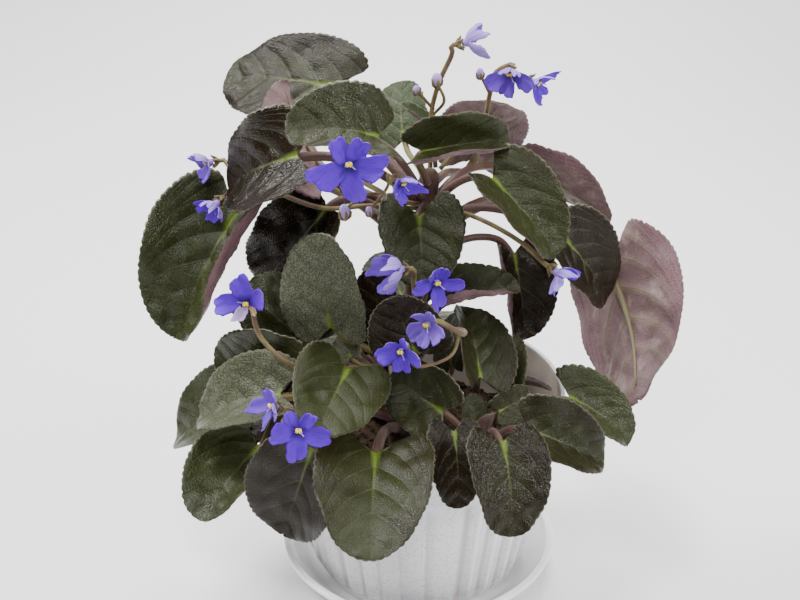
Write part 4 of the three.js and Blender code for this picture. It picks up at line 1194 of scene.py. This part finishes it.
flowers = [
    Flower("flower_tall", (18, -2, 253), 10, 10, 20, 11, 30, 0.15),
    Flower("flower_top_left", (35, 3, 238), -105, -15, 0, 11.5, 25, 0.1),
    Flower("flower_top_right", (46, 3, 234), -35, -10, 30, 10, 20),
    Flower("flower_open", (-27, -60, 226), -90, 28, 4, 15, 6),
    Flower("flower_beside_open", (-8, -38, 209), -40, -15, -20, 9.5, 30),
    Flower("flower_far_left", (-90, 22, 191), -160, -5, 0, 10, 30, 0.1),
    Flower("flower_left", (-86, 8, 178), -130, -25, 0, 9.5, 30),
    Flower("flower_fading", (-70, -38, 157), -100, 10, 195, 13, 20, 0.0, (1.9, 0.8, 0, 0, 0)),
    Flower("flower_upright", (-9, -40, 173), -150, 15, 0, 13, 35, 0.15),
    Flower("flower_middle", (6, -41, 167), -70, 5, 0, 11.5, 15),
    Flower("flower_front", (2, -62, 160), -125, 8, 10, 10.5, 6, 0.2),
    Flower("flower_front_low", (-8, -70, 153), -110, 2, 6, 10.5, 14),
    Flower("flower_pale", (-59, -64, 124), -150, 25, 10, 10.5, 15, 0.1),
    Flower("flower_low", (-47, -89, 129), -85, 38, -8, 12.5, 8),
    Flower("flower_right", (54.5, -34, 168), -20, -30, 0, 11, 30),
]
for flower in flowers:
    body = Body()
    random = np.random.default_rng(flower.seed)
    size, lean = flower.size, flower.open_by
    petals = [
        (120, 0.78, 0.5, lean + 20, 0.9),
        (60, 0.78, 0.5, lean + 20, 0.9),
        (192, 1.02, 0.7, lean, 0.3),
        (-12, 1.02, 0.7, lean, 0.3),
        (-90, 0.94, 0.68, lean - 8, 0.0),
    ]
    for (angle, length, width, lift, back), faded in zip(petals, flower.faded):
        slant, shrunk = angle + random.uniform(-8, 8), 1 - 0.2 * faded
        breadth = width * size * shrunk * random.uniform(0.85, 1.05)
        reach = length * size * (1 - 0.12 * faded) * random.uniform(0.9, 1.02)
        add_petal(body, flower, slant, reach, breadth, lift + random.uniform(-16, 16), back, faded, random)
    throat = tube(abreast(0.0, 0.0, (flower_back, -1.6, -0.7, 0.1)), (1.2, 1.5, 1.9, 1.6), 14)
    body.add(flower.holding(throat), place=(0.05, 0, -1), look=(flower.pale, 0, 0))
    for shift in (-0.75, 0.75):
        body.add(flower.holding(lump((shift * 0.8, 0.4, 1.1), (0.25 * shift, 1, 0.35), 2.0, 0.64)), 1)
    style = smooth_path([(0.3, 0.2, 0), (1.2, -0.6, 1.8), (2.2, -1.6, 3.2)], 6)
    body.add(flower.holding(tube(style, np.full(6, 0.22), 6)), place=(0.5, 0, -1), look=(0.5, 0, 0))
    name = flower.name + "_bloom"
    piece(name, body.mesh(name, petal_skin, anther_finish), [flower.name], "petal")

# ---- The flower stalks ----
# Thin hairy strands that fork from the crowns, each with a small calyx of five sepals close behind
# its flower, and buds on the shorter ones.
thick, thin = 1.05, 0.65
calyx_length = 2.4
by_name = {flower.name: flower for flower in flowers}


def from_stem(height, direction):
    """The point of the old stem's bark at a height and in a direction."""
    middle, radius = stem_at(main_stem, height)
    x, y, _ = middle + radius * level_ray(math.radians(direction))
    return (x, y, height)


def add_sepals(body, spine, radii, offset, placed):
    """Five sepals round +Z, then placed. The spine gives each point's reach and height."""
    for k in range(5):
        ray = level_ray(2 * math.pi * (k + offset) / 5)
        path = np.array([ray * reach + (0, 0, height) for reach, height in spine])
        vertices, faces, _ = tube(path, radii, 6)
        body.add((placed(vertices), faces))


def add_strand(body, points, radius, flower_name=None):
    """A strand through its points, which may end in the calyx behind a flower."""
    route = list(points)
    if flower_name:
        flower = by_name[flower_name]
        middle = flower_back - 0.3 - calyx_length / 2
        route += [flower.at((0, 0, middle - 3)), flower.at((0, 0, middle))]
        cup = abreast(0, 0, middle + np.array((-1.6, -0.9, 0, 0.9)))
        body.add(flower.holding(tube(cup, (0.8, 1.3, 1.7, 1.5), 10)))
        spine = ((1.2, middle - 0.4), (1.9, middle + 0.7), (2.5, middle + 1.5), (3.4, middle + 1.9))
        add_sepals(body, spine, (0.55, 0.65, 0.5, 0.08), 0.5, flower.at)
    path = smooth_path(route, 30)
    length = walked(path)[-1]
    shell = tube(path, np.full(30, radius), 8)
    way, turn = shell[2].T
    body.add(shell, flat=abreast(way * length, turn * radius, length))


def add_bud(body, place, length):
    """A closed bud: the folded petals, and sepals round their foot."""
    vertices, faces, local = lump(place, (0, 0, 1), length, 0.34 * length, 12, 16, 0.8)
    centre = np.array(place)
    way, turn = local.T
    ridged = centre + (vertices - centre) * (1 + 0.07 * np.cos(5 * turn))[:, None]
    flat = abreast(way * length, turn * 2, 0)
    body.add((ridged, faces), 1, place=(0.5, 0, -1), flat=flat, look=(0.45, 0, 0))
    spine = length * np.array(((0.12, -0.52), (0.33, -0.3), (0.38, 0), (0.3, 0.2)))
    radii = length * np.array((0.1, 0.12, 0.1, 0.02))
    add_sepals(body, spine, radii, 0, lambda points: centre + points)


strand_finish = Finish("flower_stalk", {"IOR": 1.42, "Sheen Weight": 0.2, "Sheen Roughness": 0.4})
flat = strand_finish.trait("flat")
fine_fur = strand_finish.noise(flat, 2.2, 3)
blotch = strand_finish.noise(flat, 0.12, 2).rise(0.35, 0.65)
strand_colour = strand_finish.mix(blotch, (0.14, 0.115, 0.028), (0.085, 0.042, 0.02))
strand_finish.wear(
    strand_finish.mix(fine_fur.rise(0.45, 0.7) * 0.22, strand_colour, (0.26, 0.2, 0.12)),
    0.5 + fine_fur * 0.2,
    strand_finish.bump(fine_fur, 0.25, 0.6),
)
sprays = {
    "spray_tall": (
        [
            ([(6, 0, 199), (5, 1, 210), (4, 0, 222), (7, -1, 236), (12, -2, 249)], thick, "flower_tall"),
            ([(5, 0, 222), (9, -3, 229), (6, -4, 237)], thin, None),
            ([(5, 0, 224), (-1, -2, 232)], thin, None),
        ],
        [((6, -4, 238), 5.6), ((-2, -2, 233), 4)],
    ),
    "spray_top": (
        [
            (
                [(8, 3, 197), (16, 10, 203), (26, 14, 214), (28, 12, 226), (30, 10, 236)],
                thick,
                "flower_top_left",
            ),
            ([(28, 11, 228), (36, 8, 233)], thin, "flower_top_right"),
            ([(28, 12, 226), (24, 9, 235)], thin, None),
        ],
        [((23.6, 8.6, 236), 4.4)],
    ),
    "spray_open": (
        [
            ([from_stem(184, -140), (-14, -14, 191), (-15, -32, 202), (-23, -48, 215)], thick, "flower_open"),
            ([(-15, -30, 201), (-13, -32, 206)], thin, "flower_beside_open"),
            ([(-15, -28, 200), (-22, -33, 202), (-29.5, -35, 197)], thin, None),
            ([(-15, -30, 201), (-20.5, -36.5, 196.6)], thin, None),
        ],
        [((-30, -35, 195.5), 6.2), ((-20.5, -36.5, 196.5), 4)],
    ),
    "spray_middle": (
        [
            ([from_stem(122, -42), (1, -22, 136), (-2, -33, 150), (-3, -36, 164)], thick, "flower_upright"),
            ([(-2, -32, 150), (2, -36, 160)], thin, "flower_middle"),
            ([(1, -20, 134), (16, -34, 142), (15, -54, 152)], thick, "flower_front"),
            ([(15.6, -46, 149), (11, -60, 145), (-3, -65, 144)], thin, "flower_front_low"),
        ],
        [],
    ),
    "spray_low": (
        [
            ([from_stem(90, -122), (-30, -34, 106), (-46, -56, 115)], thick, "flower_pale"),
            ([(-38, -45, 111), (-47, -74, 118)], thin, "flower_low"),
        ],
        [],
    ),
    "main_stem": (
        [
            (
                [(3, 0, 180), (-20, -3, 183), (-40, 1, 180), (-60, 12, 182), (-78, 18, 188)],
                thick,
                "flower_far_left",
            ),
            ([(-66, 15, 184), (-77, 15, 184)], thin, "flower_left"),
            (
                [(-8, -5, 100), (-20, -15, 110), (-34, -28, 119), (-53, -43, 131), (-66, -35, 141)],
                thick,
                "flower_fading",
            ),
            ([(2, 0, 181), (20, -12, 183), (40, -29, 179)], thick, "flower_right"),
        ],
        [],
    ),
}
fur = {**hair, "Length": 0.6 * MM, "Edge": 600000.0, "Skin": 600000.0, "Seed": 11.0}
for node, (strands, buds) in sprays.items():
    body = Body()
    for points, radius, flower_name in strands:
        add_strand(body, points, radius, flower_name)
    for middle, length in buds:
        add_bud(body, middle, length)
    plain = body.mesh(node + "_strands", strand_finish, petal_skin)
    furred = grown(plain, hairs, fur)
    piece(node + "_strands", furred, [node], "flower_stalk")

# ---- The table and the light ----
# A pale matt sheet lies under the plant and sweeps up behind it. It is painted a little darker to the
# sides and far off, as painted shade where the lamps' light falls away. Five soft lamps stand round the
# plant: left, right, above and behind, overhead, in front.
sweep_finish = Finish("pale_sweep", {"Specular IOR Level": 0.1})
cloudy = sweep_finish.noise(sweep_finish.place(), 1.2)
white_sheet = sweep_finish.mix(cloudy, (0.8, 0.8, 0.8), (0.84, 0.84, 0.84))
x, y, _ = sweep_finish.split(sweep_finish.place())
from_middle, behind = abs(x - 0.02), y - 0.1
# Painted shade: darker to the sides behind the plant, and darker still far off.
side_shade = from_middle.rise(0.06, 0.5) * behind.rise(-0.2, 0.15)
side_shaded_sheet = sweep_finish.mix(side_shade * 0.5, white_sheet, (0.6, 0.6, 0.595))
distance = (from_middle * from_middle + behind * behind) ** 0.5
sweep_finish.wear(
    sweep_finish.mix(distance.rise(0.65, 1.7), side_shaded_sheet, (0.42, 0.42, 0.42)),
    0.85 + cloudy * 0.1,
)
bend_start, bend_radius = 0.5, 1.2
profile = [(-3.0, 0.0), (bend_start, 0.0)]
for a in np.linspace(0.1, math.pi / 2, 14):
    profile.append((bend_start + bend_radius * math.sin(a), bend_radius * (1 - math.cos(a))))
profile.append((bend_start + bend_radius, 4.0))
sweep = added("sweep", bpy.data.meshes.new("sweep"))
sweep.data.from_pydata(
    [(x, y, z) for y, z in profile for x in (-4, 4)],
    [],
    [(2 * k, 2 * k + 1, 2 * k + 3, 2 * k + 2) for k in range(len(profile) - 1)],
)
sweep.data.shade_smooth()
sweep.data.materials.append(sweep_finish.material)

lit_point = (0, 0, 0.13)
softboxes = {
    "softbox_left": ((-0.72, 0.27, 0.92), 0.34, 0.34, 18),
    "softbox_right": ((0.87, -0.35, 0.71), 0.28, 0.28, 10.5),
    "softbox_above": ((0.16, 0.62, 1.15), 0.5, 0.4, 19.5),
    "softbox_top": ((-0.1, -0.2, 1.3), 0.26, 0.26, 8),
    "softbox_front": ((-0.2, -0.9, 1.1), 0.45, 0.35, 9),
}
for name, (place, width, depth, power) in softboxes.items():
    lamp = added(name, bpy.data.lights.new(name, "AREA"))
    lamp.data.shape, lamp.data.energy = "RECTANGLE", power
    lamp.data.size, lamp.data.size_y = width, depth
    lamp.location = place
    lamp.rotation_euler = facing(place, lit_point)
world = bpy.data.worlds.new("room")
world.use_nodes = True
room = world.node_tree.nodes["Background"].inputs
room["Color"].default_value = (0.93, 0.95, 1, 1)
room["Strength"].default_value = 0.27
bpy.context.scene.world = world
